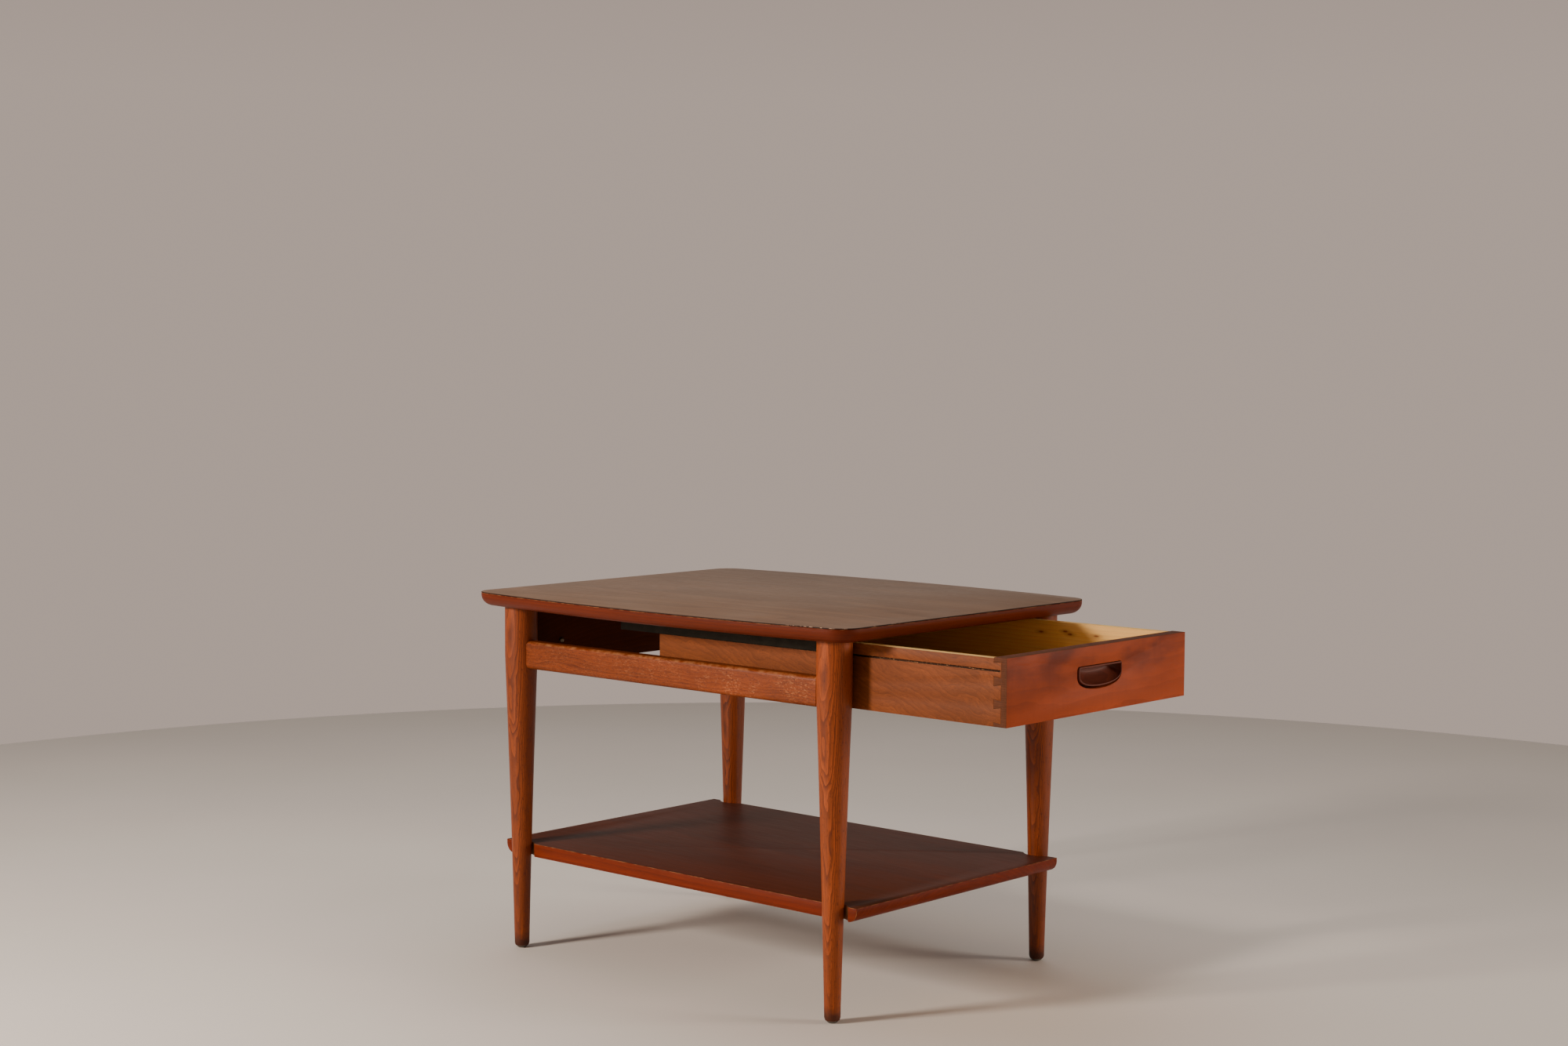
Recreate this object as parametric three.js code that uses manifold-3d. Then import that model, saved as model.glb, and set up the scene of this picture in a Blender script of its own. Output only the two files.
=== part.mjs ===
// Side table with one drawer and a lower shelf, as separate pieces.
// Millimetres, +Z up. The drawer opens towards -Y and is drawn part way open.
import * as THREE from 'three';
import { mergeVertices } from 'three/addons/utils/BufferGeometryUtils.js';
import Module from 'manifold-3d';

const wasm = await Module();
wasm.setup();

// ---- Driving dimensions ----

// Fits
const fitGap = 0.3; // between pieces that touch or are let into each other
const overcut = 1; // how far a cut runs past the face it opens

// Tabletop
const overallHeight = 520;
const topWidth = 580; // across the middle, where the long edges bow out most
const topDepth = 704;
const topEdgeBow = 24; // how far each long edge curves out between the corners
const topCornerRadius = 32;
const boardThickness = 18.5;
const laminateThickness = 1.2;
const underRoundInset = 17; // quarter-round under the edge, measured inwards
const underRoundHeight = 16; // and upwards

// Legs
const legInsetX = 66; // leg centre in from the widest point of the top
const legInsetY = 54;
const legTopRadius = 23.5;
const legFootRadius = 10.6;
const legHollow = 0.8; // how far the taper sinks in half way down
const legTaperRise = 20; // the taper starts this far above the drawer's lower edge
const footChamfer = 1.5;
const spigotRadius = 11; // round tenon that joins the leg to the top
const spigotLength = 12;

// Nail-on glides
const glideHeight = 3.5;
const glideRadius = 8;
const glideFlatRadius = 5;
const glideNailRadius = 1.5;
const glideNailLength = 14;

// Side rails
const railHeight = 40;
const railThickness = 22;
const railEdgeRadius = 6;
const railRise = 1.5; // rail's lower edge above the drawer's lower edge
const tenonThickness = 10;
const tenonSpacing = 2.5; // tip of a tenon to the side of the one that meets it in a leg
const tenonShoulder = 6; // how much lower than its piece a tenon is, above and below

// Rear apron
const apronThickness = 18;
const apronRise = 2;

// Shelf
const shelfTopZ = 154;
const shelfThickness = 19;
const shelfEdgeInset = 4; // side edges inside the line of the leg centres
const shelfOverhang = 36.5; // front and rear edges beyond the leg centres
const shelfUnderRound = 14;
const notchHalfWidth = 22; // scallop in the side edge that clears a leg
const dowelRadius = 4;
const dowelInShelf = 18;
const dowelInLeg = 10;

// Drawer box
const drawerSideClearance = 1.5; // between the drawer and the front legs
const drawerFrontGap = 5; // above the drawer front
const drawerFrontHeight = 86;
const drawerFrontThickness = 20;
const drawerFrontSetback = 7.5; // closed front behind the line of the front legs
const drawerSideDrop = 1; // sides below the front's upper edge
const drawerSideThickness = 12;
const drawerBackThickness = 12;
const drawerBackDrop = 1; // back below the sides' upper edge
const panelThickness = 4;
const panelRise = 10; // drawer bottom above the lower edge
const panelLetIn = 4.5;
const rabbetDepth = 5;
const tailCount = 3;
const tailLength = 11;
const tailRootShare = 0.56; // width of a tail at its root, as a share of the pitch
const tailSlope = 1 / 6;

// Drawer travel
const drawerShownOpening = 240; // how far open the drawer stands in the model
const drawerFullTravel = 400; // from closed to the stop cleat
const drawerRearClearance = 7; // closed drawer to the rear apron
const stopClearance = 1;

// Pull
const pullWidth = 100;
const pullHeight = 31.5;
const pullRise = 30; // lower edge of the opening above the drawer's lower edge
const pullTopCornerRadius = 5;
const pullShoulder = 18; // height over which the sides run into the lower curve
const pullSweep = 0.66; // how far along the lower edge the curve stays flat
const pullTurn = 0.4; // and how far up the shoulder it turns
const pullShadowGap = 3; // open groove between the front and the cup
const pullRimWidth = 2.2;
const pullRimProud = 0.8;
const cupDepth = 14;
const cupSlope = 7; // how far the cup's walls lean in towards its floor
const fingerHollowRadius = 6;
const pullFlangeMargin = 12;
const pullFlangeThickness = 6;

// Hanging runners
const runnerSteel = 1.5;
const runnerLength = 390;
const runnerFlangeWidth = 15;
const runnerTongueWidth = 5.5; // lower flange that rides in the drawer side's groove
const runnerDrop = 22; // underside of the top to the underside of the tongue
const runnerSideGap = 0.5; // web to the drawer side
const runnerScrewInset = 34;
const grooveClearance = 0.8;

// Screws
const screwHeadRadius = 3.6;
const screwHeadHeight = 2;
const screwShankRadius = 1.7;
const screwShankLength = 13;
const pullScrewShankLength = 15;
const closingStopInset = 43; // in from the drawer's sides
const closingStopRise = 36; // above the drawer's lower edge
const closingStopGap = 1.2; // screw head to the closed drawer

// Stop cleat
const cleatWidth = 60;
const cleatThickness = 20;
const cleatHeight = 13;
const cleatScrewSpacing = 36;

// Points and chamfers of turned metal
const pointLength = 3;
const headCrown = 0.6; // flat of a screw head, as a share of its radius
const headEdge = 0.45; // edge of a screw head, as a share of its height
const glideShoulder = 0.35; // heights of the glide's two bends, as shares of its height
const glideBrim = 0.8;

// Facets
const legSides = 32;
const screwSides = 12;
const outlineSteps = 14;
const taperSteps = 9;
const cupSteps = 8;

// ---- Places that follow from them ----

const undersideZ = overallHeight - laminateThickness - fitGap - boardThickness;
const legCentreX = topWidth / 2 - legInsetX;
const legCentreY = topDepth / 2 - legInsetY;
const drawerBottomZ = undersideZ - drawerFrontGap - drawerFrontHeight;
const taperStartZ = drawerBottomZ + legTaperRise;
const railBottomZ = drawerBottomZ + railRise;
const apronBottomZ = drawerBottomZ + apronRise;
const apronFrontY = legCentreY - apronThickness / 2;
const shelfHalfWidth = legCentreX - shelfEdgeInset;
const shelfHalfDepth = legCentreY + shelfOverhang;
const shelfMiddleZ = shelfTopZ - shelfThickness / 2;
const drawerHalfWidth = legCentreX - legTopRadius - drawerSideClearance;
const drawerClosedY = -(legCentreY + legTopRadius) + drawerFrontSetback;
const drawerDepth = apronFrontY - drawerRearClearance - drawerClosedY;
const drawerInnerX = drawerHalfWidth - drawerSideThickness;
const drawerSideHeight = drawerFrontHeight - drawerSideDrop;
const runnerWebX = drawerHalfWidth + runnerSideGap;
const runnerFrontY = -(legCentreY - legTopRadius) + stopClearance;
const tongueZ = undersideZ - runnerDrop;
const tenonTip = tenonThickness / 2 + tenonSpacing; // from the axis of the leg
const cleatRearY = drawerClosedY + drawerDepth - drawerBackThickness - drawerFullTravel - stopClearance;
const bothSides = [-1, 1];

// ---- Solids ----

function solidOf(geometry) {
  const shell = geometry.clone();
  shell.deleteAttribute('normal');
  shell.deleteAttribute('uv');
  const merged = mergeVertices(shell, 1e-4);
  const corners = merged.index.array;
  const triVerts = [];
  for (let i = 0; i < corners.length; i += 3) {
    const [a, b, c] = [corners[i], corners[i + 1], corners[i + 2]];
    if (a !== b && b !== c && c !== a) triVerts.push(a, b, c);
  }
  return new wasm.Manifold(new wasm.Mesh({
    numProp: 3,
    vertProperties: new Float32Array(merged.attributes.position.array),
    triVerts: new Uint32Array(triVerts),
  }));
}

function geometryOf(solid) {
  const { vertProperties, triVerts } = solid.getMesh();
  const geometry = new THREE.BufferGeometry();
  geometry.setAttribute('position', new THREE.BufferAttribute(vertProperties, 3));
  geometry.setIndex(new THREE.BufferAttribute(triVerts, 1));
  geometry.computeVertexNormals();
  return geometry;
}

function carve(geometry, tools) {
  let solid = solidOf(geometry);
  for (const tool of tools) solid = solid.subtract(solidOf(tool));
  return geometryOf(solid);
}

function weld(geometry, extras) {
  let solid = solidOf(geometry);
  for (const extra of extras) solid = solid.add(solidOf(extra));
  return geometryOf(solid);
}

// A box given by its limits along each axis, in either order.
function block([x0, x1], [y0, y1], [z0, z1]) {
  const size = [Math.abs(x1 - x0), Math.abs(y1 - y0), Math.abs(z1 - z0)];
  return new THREE.BoxGeometry(...size).translate((x0 + x1) / 2, (y0 + y1) / 2, (z0 + z1) / 2);
}

function rodAlongZ(radius, z0, z1, sides = screwSides) {
  const rod = new THREE.CylinderGeometry(radius, radius, z1 - z0, sides);
  return rod.rotateX(Math.PI / 2).translate(0, 0, (z0 + z1) / 2);
}

function rodAlongX(radius, x0, x1, sides = screwSides) {
  const rod = new THREE.CylinderGeometry(radius, radius, Math.abs(x1 - x0), sides);
  return rod.rotateZ(Math.PI / 2).translate((x0 + x1) / 2, 0, 0);
}

// A shape drawn in X and Z, run along Y from y0 to y1.
function extrudeAlongY(shape, y0, y1, options = {}) {
  const settings = { depth: y1 - y0, bevelEnabled: false, curveSegments: 8, ...options };
  return new THREE.ExtrudeGeometry(shape, settings).rotateX(Math.PI / 2).translate(0, y1, 0);
}

// A shape drawn in Y and Z, run along X from x0 to x1.
function extrudeAlongX(shape, x0, x1) {
  const settings = { depth: x1 - x0, bevelEnabled: false, curveSegments: 8 };
  const geometry = new THREE.ExtrudeGeometry(shape, settings);
  return geometry.rotateX(Math.PI / 2).rotateZ(Math.PI / 2).translate(x0, 0, 0);
}

function turned(profile, sides) {
  const points = profile.map(([radius, z]) => new THREE.Vector2(radius, z));
  return new THREE.LatheGeometry(points, sides).rotateX(Math.PI / 2);
}

function roundedRectangle(halfWidth, halfHeight, radius, centreHeight = 0) {
  const shape = new THREE.Shape();
  const [x, y] = [halfWidth - radius, halfHeight - radius];
  shape.absarc(x, centreHeight - y, radius, -Math.PI / 2, 0);
  shape.absarc(x, centreHeight + y, radius, 0, Math.PI / 2);
  shape.absarc(-x, centreHeight + y, radius, Math.PI / 2, Math.PI);
  shape.absarc(-x, centreHeight - y, radius, Math.PI, 1.5 * Math.PI);
  shape.closePath();
  return shape;
}

// ---- Materials ----

function finish(color, roughness, metalness = 0) {
  return new THREE.MeshStandardMaterial({ color, roughness, metalness });
}

const stainedWood = finish('#8a4a26', 0.42);
const edgeWood = finish('#84401f', 0.4);
const shelfWood = finish('#4a2c22', 0.38);
const laminate = finish('#80685a', 0.35);
const frontWood = finish('#8f4026', 0.45);
const drawerOutsideWood = finish('#82502e', 0.55);
const drawerPanel = finish('#c9a06c', 0.7);
const pullWood = finish('#3c1c14', 0.35);
const runnerMetal = finish('#6b7176', 0.5, 1);
const screwMetal = finish('#8d8a82', 0.4, 1);
const glideMetal = finish('#7c7a76', 0.35, 1);

function piece(name, geometry, material, [x, y, z] = [0, 0, 0]) {
  const mesh = new THREE.Mesh(geometry, material);
  mesh.name = name;
  mesh.position.set(x, y, z);
  return mesh;
}

// ---- Tabletop ----

// Straight front and rear edges, long edges bowed outwards, rounded corners.
function topOutline() {
  const halfWidth = topWidth / 2;
  const halfDepth = topDepth / 2;
  const bowRadius = (halfDepth ** 2 + topEdgeBow ** 2) / (2 * topEdgeBow);
  const bowCentreX = halfWidth - bowRadius;
  const cornerY = halfDepth - topCornerRadius;
  const cornerReach = Math.sqrt((bowRadius - topCornerRadius) ** 2 - cornerY ** 2);
  const cornerX = bowCentreX + cornerReach;
  const bowAngle = Math.atan2(cornerY, cornerReach);
  const points = [];
  const arc = (x, y, radius, from, to, steps) => {
    for (let i = 0; i <= steps; i += 1) {
      const angle = from + ((to - from) * i) / steps;
      points.push(new THREE.Vector2(x + radius * Math.cos(angle), y + radius * Math.sin(angle)));
    }
  };
  arc(bowCentreX, 0, bowRadius, -bowAngle, bowAngle, outlineSteps);
  arc(cornerX, cornerY, topCornerRadius, bowAngle, Math.PI / 2, outlineSteps / 2);
  arc(-cornerX, cornerY, topCornerRadius, Math.PI / 2, Math.PI - bowAngle, outlineSteps / 2);
  arc(-bowCentreX, 0, bowRadius, Math.PI - bowAngle, Math.PI + bowAngle, outlineSteps);
  arc(-cornerX, -cornerY, topCornerRadius, Math.PI + bowAngle, 1.5 * Math.PI, outlineSteps / 2);
  arc(cornerX, -cornerY, topCornerRadius, -Math.PI / 2, -bowAngle, outlineSteps / 2);
  return new THREE.Shape(points.filter((p, i) => p.distanceTo(points.at(i - 1)) > 1e-3));
}

function runnerScrewPlaces() {
  const places = [];
  const first = runnerFrontY + runnerScrewInset;
  const last = runnerFrontY + runnerLength - runnerScrewInset;
  for (const side of bothSides) {
    for (const share of [0, 0.5, 1]) {
      const x = side * (runnerWebX + runnerSteel - runnerFlangeWidth / 2);
      places.push({ side, x, y: first + (last - first) * share });
    }
  }
  return places;
}

function cleatScrewPlaces() {
  const y = cleatRearY - cleatThickness / 2;
  return bothSides.map((side) => ({ x: (side * cleatScrewSpacing) / 2, y }));
}

function legPlaces() {
  const places = [];
  for (const [end, y] of [['front', -1], ['rear', 1]]) {
    for (const [hand, x] of [['left', -1], ['right', 1]]) places.push({ label: `${end}_${hand}`, x, y });
  }
  return places;
}

// The quarter-round comes from an extrusion's bevel; its upper half is cut off level.
function topBoard() {
  const blank = new THREE.ExtrudeGeometry(topOutline(), {
    depth: boardThickness,
    bevelThickness: underRoundHeight,
    bevelSize: underRoundInset,
    bevelOffset: -underRoundInset,
    bevelSegments: 6,
  }).translate(0, 0, underRoundHeight);
  const above = 2 * boardThickness + 2 * underRoundHeight;
  const tools = [block([-topWidth, topWidth], [-topDepth, topDepth], [boardThickness, above])];
  for (const { x, y } of legPlaces()) {
    const socket = rodAlongZ(spigotRadius + fitGap, -overcut, spigotLength + fitGap, legSides);
    tools.push(socket.translate(x * legCentreX, y * legCentreY, 0));
  }
  for (const { x, y } of [...runnerScrewPlaces(), ...cleatScrewPlaces()]) {
    const hole = rodAlongZ(screwShankRadius + fitGap, -overcut, screwShankLength + fitGap);
    tools.push(hole.translate(x, y, 0));
  }
  return carve(blank, tools);
}

function topPieces() {
  const sheet = new THREE.ExtrudeGeometry(topOutline(), { depth: laminateThickness, bevelEnabled: false });
  return [
    piece('top_board', topBoard(), edgeWood, [0, 0, undersideZ]),
    piece('top_laminate', sheet, laminate, [0, 0, overallHeight - laminateThickness]),
  ];
}

// ---- Legs ----

function legRadiusAt(z) {
  if (z >= taperStartZ) return legTopRadius;
  const share = (z - glideHeight) / (taperStartZ - glideHeight);
  return THREE.MathUtils.lerp(legFootRadius, legTopRadius, share) - legHollow * 4 * share * (1 - share);
}

// The turned leg with its top tenon, grown all round by clearance when it cuts a neighbour.
function legTurning(clearance = 0) {
  const footZ = glideHeight + fitGap;
  const profile = [[0, footZ], [legFootRadius - footChamfer + clearance, footZ]];
  for (let i = 0; i <= taperSteps; i += 1) {
    const z = THREE.MathUtils.lerp(footZ + footChamfer, taperStartZ, i / taperSteps);
    profile.push([legRadiusAt(z) + clearance, z]);
  }
  const topZ = undersideZ - fitGap;
  profile.push([legTopRadius + clearance, topZ], [spigotRadius + clearance, topZ]);
  profile.push([spigotRadius + clearance, undersideZ + spigotLength], [0, undersideZ + spigotLength]);
  return turned(profile, legSides);
}

function leg(sideX, sideY) {
  const half = tenonThickness / 2 + fitGap;
  const deep = tenonTip - fitGap;
  const out = legTopRadius + overcut;
  const railZ = [railBottomZ + tenonShoulder - fitGap, railBottomZ + railHeight - tenonShoulder + fitGap];
  const tools = [block([-half, half], [-sideY * deep, -sideY * out], railZ)];
  if (sideY > 0) {
    const apronZ = [apronBottomZ + tenonShoulder - fitGap, undersideZ - tenonShoulder + fitGap];
    tools.push(block([-sideX * deep, -sideX * out], [-half, half], apronZ));
  }
  const skin = legRadiusAt(shelfMiddleZ);
  const dowelHole = rodAlongX(dowelRadius + fitGap, -sideX * (skin - dowelInLeg - fitGap), -sideX * out);
  tools.push(dowelHole.translate(0, 0, shelfMiddleZ));
  tools.push(rodAlongZ(glideNailRadius + fitGap, 0, glideHeight + glideNailLength + fitGap));
  return carve(legTurning(), tools);
}

function glide() {
  const nailTop = glideHeight + glideNailLength;
  const profile = [
    [0, 0],
    [glideFlatRadius, 0],
    [glideRadius - 1, glideHeight * glideShoulder],
    [glideRadius, glideHeight * glideBrim],
    [glideRadius, glideHeight],
    [glideNailRadius, glideHeight],
    [glideNailRadius, nailTop - pointLength],
    [0, nailTop],
  ];
  return turned(profile, screwSides * 2);
}

function legPieces() {
  return legPlaces().flatMap(({ label, x, y }) => {
    const place = [x * legCentreX, y * legCentreY, 0];
    return [
      piece(`leg_${label}`, leg(x, y), stainedWood, place),
      piece(`glide_${label}`, glide(), glideMetal, place),
    ];
  });
}

// ---- Side rails and rear apron ----

// A rail in a frame of its own: middle of its length at the origin, height from the floor.
function sideRail() {
  const half = railHeight / 2;
  const section = roundedRectangle(railThickness / 2, half, railEdgeRadius, railBottomZ + half);
  const blank = extrudeAlongY(section, -legCentreY, legCentreY);
  const coped = carve(blank, bothSides.map((end) => legTurning(fitGap).translate(0, end * legCentreY, 0)));
  const tip = legCentreY - tenonTip;
  const root = legCentreY - legTopRadius - railThickness / 2;
  const halfTenon = tenonThickness / 2;
  const tenonZ = [railBottomZ + tenonShoulder, railBottomZ + railHeight - tenonShoulder];
  const tenonX = [-halfTenon, halfTenon];
  return weld(coped, bothSides.map((end) => block(tenonX, [end * root, end * tip], tenonZ)));
}

// The apron runs along X between the rear legs.
function rearApron() {
  const half = apronThickness / 2;
  const blank = block([-legCentreX, legCentreX], [-half, half], [apronBottomZ, undersideZ - fitGap]);
  const stopHole = screwShankRadius + fitGap;
  const tools = bothSides.map((end) => legTurning(fitGap).translate(end * legCentreX, 0, 0));
  for (const { x } of closingStopPlaces()) {
    const hole = rodAlongZ(stopHole, -half - overcut, half - fitGap).rotateX(-Math.PI / 2);
    tools.push(hole.translate(x, 0, drawerBottomZ + closingStopRise));
  }
  const tip = legCentreX - tenonTip;
  const root = legCentreX - legTopRadius - half;
  const halfTenon = tenonThickness / 2;
  const tenonZ = [apronBottomZ + tenonShoulder, undersideZ - tenonShoulder];
  const tenons = bothSides.map((end) => block([end * root, end * tip], [-halfTenon, halfTenon], tenonZ));
  return weld(carve(blank, tools), tenons);
}

function railPieces() {
  const rail = sideRail();
  return [
    piece('side_rail_left', rail, stainedWood, [-legCentreX, 0, 0]),
    piece('side_rail_right', rail, stainedWood, [legCentreX, 0, 0]),
    piece('rear_apron', rearApron(), stainedWood, [0, legCentreY, 0]),
  ];
}

// ---- Shelf ----

// Depth of the scallop that just clears the leg where it passes the shelf.
function notchDepth() {
  return legRadiusAt(shelfTopZ) + fitGap - shelfEdgeInset;
}

function shelfBoard() {
  const section = new THREE.Shape();
  const [front, rear] = [-shelfHalfDepth, shelfHalfDepth];
  const round = shelfUnderRound;
  section.moveTo(front, shelfTopZ);
  section.lineTo(front, shelfTopZ - shelfThickness + round);
  section.absarc(front + round, shelfTopZ - shelfThickness + round, round, Math.PI, 1.5 * Math.PI);
  section.lineTo(rear - round, shelfTopZ - shelfThickness);
  section.absarc(rear - round, shelfTopZ - shelfThickness + round, round, 1.5 * Math.PI, 2 * Math.PI);
  section.lineTo(rear, shelfTopZ);
  section.closePath();
  const depth = notchDepth();
  const notchRadius = (notchHalfWidth ** 2 + depth ** 2) / (2 * depth);
  const [under, over] = [shelfTopZ - shelfThickness - overcut, shelfTopZ + overcut];
  const tools = [];
  for (const { x, y } of legPlaces()) {
    const notch = rodAlongZ(notchRadius, under, over, 2 * legSides);
    tools.push(notch.translate(x * (shelfHalfWidth + notchRadius - depth), y * legCentreY, 0));
    const wall = shelfHalfWidth - depth;
    const hole = rodAlongX(dowelRadius + fitGap, x * (wall - dowelInShelf - fitGap), x * (wall + overcut));
    tools.push(hole.translate(0, y * legCentreY, shelfMiddleZ));
  }
  return carve(extrudeAlongX(section, -shelfHalfWidth, shelfHalfWidth), tools);
}

function shelfPieces() {
  const wall = shelfHalfWidth - notchDepth();
  const legSkin = legCentreX - legRadiusAt(shelfMiddleZ);
  const dowels = legPlaces().map(({ label, x, y }) => {
    const dowel = rodAlongX(dowelRadius, x * (wall - dowelInShelf), x * (legSkin + dowelInLeg));
    return piece(`shelf_dowel_${label}`, dowel, drawerPanel, [0, y * legCentreY, shelfMiddleZ]);
  });
  return [piece('shelf_board', shelfBoard(), shelfWood), ...dowels];
}

// ---- Screws ----

// Seat of the head at the origin, shank pointing along +Z.
function screw(shankLength) {
  const profile = [
    [0, -screwHeadHeight],
    [screwHeadRadius * headCrown, -screwHeadHeight],
    [screwHeadRadius, -screwHeadHeight * headEdge],
    [screwHeadRadius, 0],
    [screwShankRadius, 0],
    [screwShankRadius, shankLength - pointLength],
    [0, shankLength],
  ];
  return turned(profile, screwSides);
}

function closingStopPlaces() {
  const x = drawerHalfWidth - closingStopInset;
  return [{ label: 'left', x: -x }, { label: 'right', x }];
}

// ---- Drawer runners, stop cleat and closing stops ----

// C-shaped sheet steel: screwed up to the top, its lower tongue in the drawer side's groove.
function runner(side) {
  const outer = side * (runnerWebX + runnerSteel);
  const inner = side * runnerWebX;
  const flangeEnd = outer - side * runnerFlangeWidth;
  const tongueEnd = inner - side * runnerTongueWidth;
  const seatZ = undersideZ - fitGap;
  const outline = [
    [outer, seatZ],
    [flangeEnd, seatZ],
    [flangeEnd, seatZ - runnerSteel],
    [inner, seatZ - runnerSteel],
    [inner, tongueZ + runnerSteel],
    [tongueEnd, tongueZ + runnerSteel],
    [tongueEnd, tongueZ],
    [outer, tongueZ],
  ];
  const section = new THREE.Shape(outline.map(([x, z]) => new THREE.Vector2(x, z)));
  const holes = runnerScrewPlaces().filter((place) => place.side === side).map(({ x, y }) => (
    rodAlongZ(screwShankRadius + fitGap, seatZ - runnerSteel - overcut, seatZ + overcut).translate(x, y, 0)
  ));
  return carve(extrudeAlongY(section, runnerFrontY, runnerFrontY + runnerLength), holes);
}

function stopCleat() {
  const topZ = undersideZ - fitGap;
  const holes = cleatScrewPlaces().map(({ x, y }) => (
    rodAlongZ(screwShankRadius + fitGap, topZ - cleatHeight - overcut, topZ + overcut).translate(x, y, 0)
  ));
  const half = cleatWidth / 2;
  const bar = block([-half, half], [cleatRearY - cleatThickness, cleatRearY], [topZ - cleatHeight, topZ]);
  return carve(bar, holes);
}

function runnerPieces() {
  const pieces = [
    piece('runner_left', runner(-1), runnerMetal),
    piece('runner_right', runner(1), runnerMetal),
    piece('stop_cleat', stopCleat(), drawerPanel),
  ];
  const runnerSeatZ = undersideZ - fitGap - runnerSteel - fitGap;
  runnerScrewPlaces().forEach(({ side, x, y }, i) => {
    const name = `runner_screw_${side < 0 ? 'left' : 'right'}_${(i % 3) + 1}`;
    pieces.push(piece(name, screw(screwShankLength), screwMetal, [x, y, runnerSeatZ]));
  });
  const cleatSeatZ = undersideZ - fitGap - cleatHeight - fitGap;
  cleatScrewPlaces().forEach(({ x, y }, i) => {
    const length = screwShankLength + cleatHeight - runnerSteel;
    pieces.push(piece(`cleat_screw_${i + 1}`, screw(length), screwMetal, [x, y, cleatSeatZ]));
  });
  const headY = drawerClosedY + drawerDepth + closingStopGap + screwHeadHeight;
  const stopLength = legCentreY + apronThickness / 2 - 2 * fitGap - overcut - headY;
  for (const { label, x } of closingStopPlaces()) {
    const place = [x, headY, drawerBottomZ + closingStopRise];
    const stop = screw(stopLength).rotateX(-Math.PI / 2);
    pieces.push(piece(`closing_stop_${label}`, stop, screwMetal, place));
  }
  return pieces;
}

// ---- Drawer, in its own frame: middle of its width, outer face of the front, lower edge ----

// Each tail's width at its root and tip, grown by clearance for the socket it fits.
function tailShapes(clearance) {
  const pitch = drawerSideHeight / tailCount;
  const [rootY, tipY] = [drawerFrontThickness, drawerFrontThickness - tailLength];
  const rootHalf = (pitch * tailRootShare) / 2 + clearance;
  const tipHalf = rootHalf + tailLength * tailSlope;
  const shapes = [];
  for (let i = 0; i < tailCount; i += 1) {
    const z = pitch * (i + 0.5);
    shapes.push([
      [rootY + overcut, z - rootHalf],
      [rootY + overcut, z + rootHalf],
      [tipY - clearance, z + tipHalf],
      [tipY - clearance, z - tipHalf],
    ]);
  }
  return shapes.map((corners) => new THREE.Shape(corners.map(([y, z]) => new THREE.Vector2(y, z))));
}

function acrossSide(shape, side, inner, outer) {
  return side < 0 ? extrudeAlongX(shape, -outer, -inner) : extrudeAlongX(shape, inner, outer);
}

// D-shaped outline of the pull: level above, rounded below.
function pullOutline(inset) {
  const half = pullWidth / 2 - inset;
  const [low, high] = [pullRise + inset, pullRise + pullHeight - inset];
  const shoulder = low + pullShoulder - inset;
  const corner = Math.max(pullTopCornerRadius - inset, 1);
  const shape = new THREE.Shape();
  shape.moveTo(0, low);
  const turnZ = THREE.MathUtils.lerp(low, shoulder, pullTurn);
  shape.bezierCurveTo(half * pullSweep, low, half, turnZ, half, shoulder);
  shape.absarc(half - corner, high - corner, corner, 0, Math.PI / 2);
  shape.absarc(-half + corner, high - corner, corner, Math.PI / 2, Math.PI);
  shape.lineTo(-half, shoulder);
  shape.bezierCurveTo(-half, turnZ, -half * pullSweep, low, 0, low);
  return shape;
}

function pullScrewPlaces() {
  return bothSides.map((side) => ({
    x: side * (pullWidth / 2 + pullFlangeMargin / 2),
    z: pullRise + pullHeight / 2,
  }));
}

function drawerFront() {
  const acrossX = [-drawerHalfWidth, drawerHalfWidth];
  const blank = block(acrossX, [0, drawerFrontThickness], [0, drawerFrontHeight]);
  const tools = [extrudeAlongY(pullOutline(0), -overcut, drawerFrontThickness + overcut)];
  for (const side of bothSides) {
    for (const socket of tailShapes(fitGap)) {
      tools.push(acrossSide(socket, side, drawerInnerX - fitGap, drawerHalfWidth + overcut));
    }
  }
  const grooveX = drawerInnerX + panelLetIn + fitGap;
  const grooveY = drawerFrontThickness - panelLetIn - fitGap;
  const grooveZ = [panelRise, panelRise + panelThickness + 2 * fitGap];
  tools.push(block([-grooveX, grooveX], [grooveY, drawerFrontThickness + overcut], grooveZ));
  for (const { x, z } of pullScrewPlaces()) {
    const holeTip = pullFlangeThickness - pullScrewShankLength - fitGap;
    const hole = rodAlongZ(screwShankRadius + fitGap, holeTip, overcut).rotateX(-Math.PI / 2);
    tools.push(hole.translate(x, drawerFrontThickness, z));
  }
  return carve(blank, tools);
}

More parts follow.
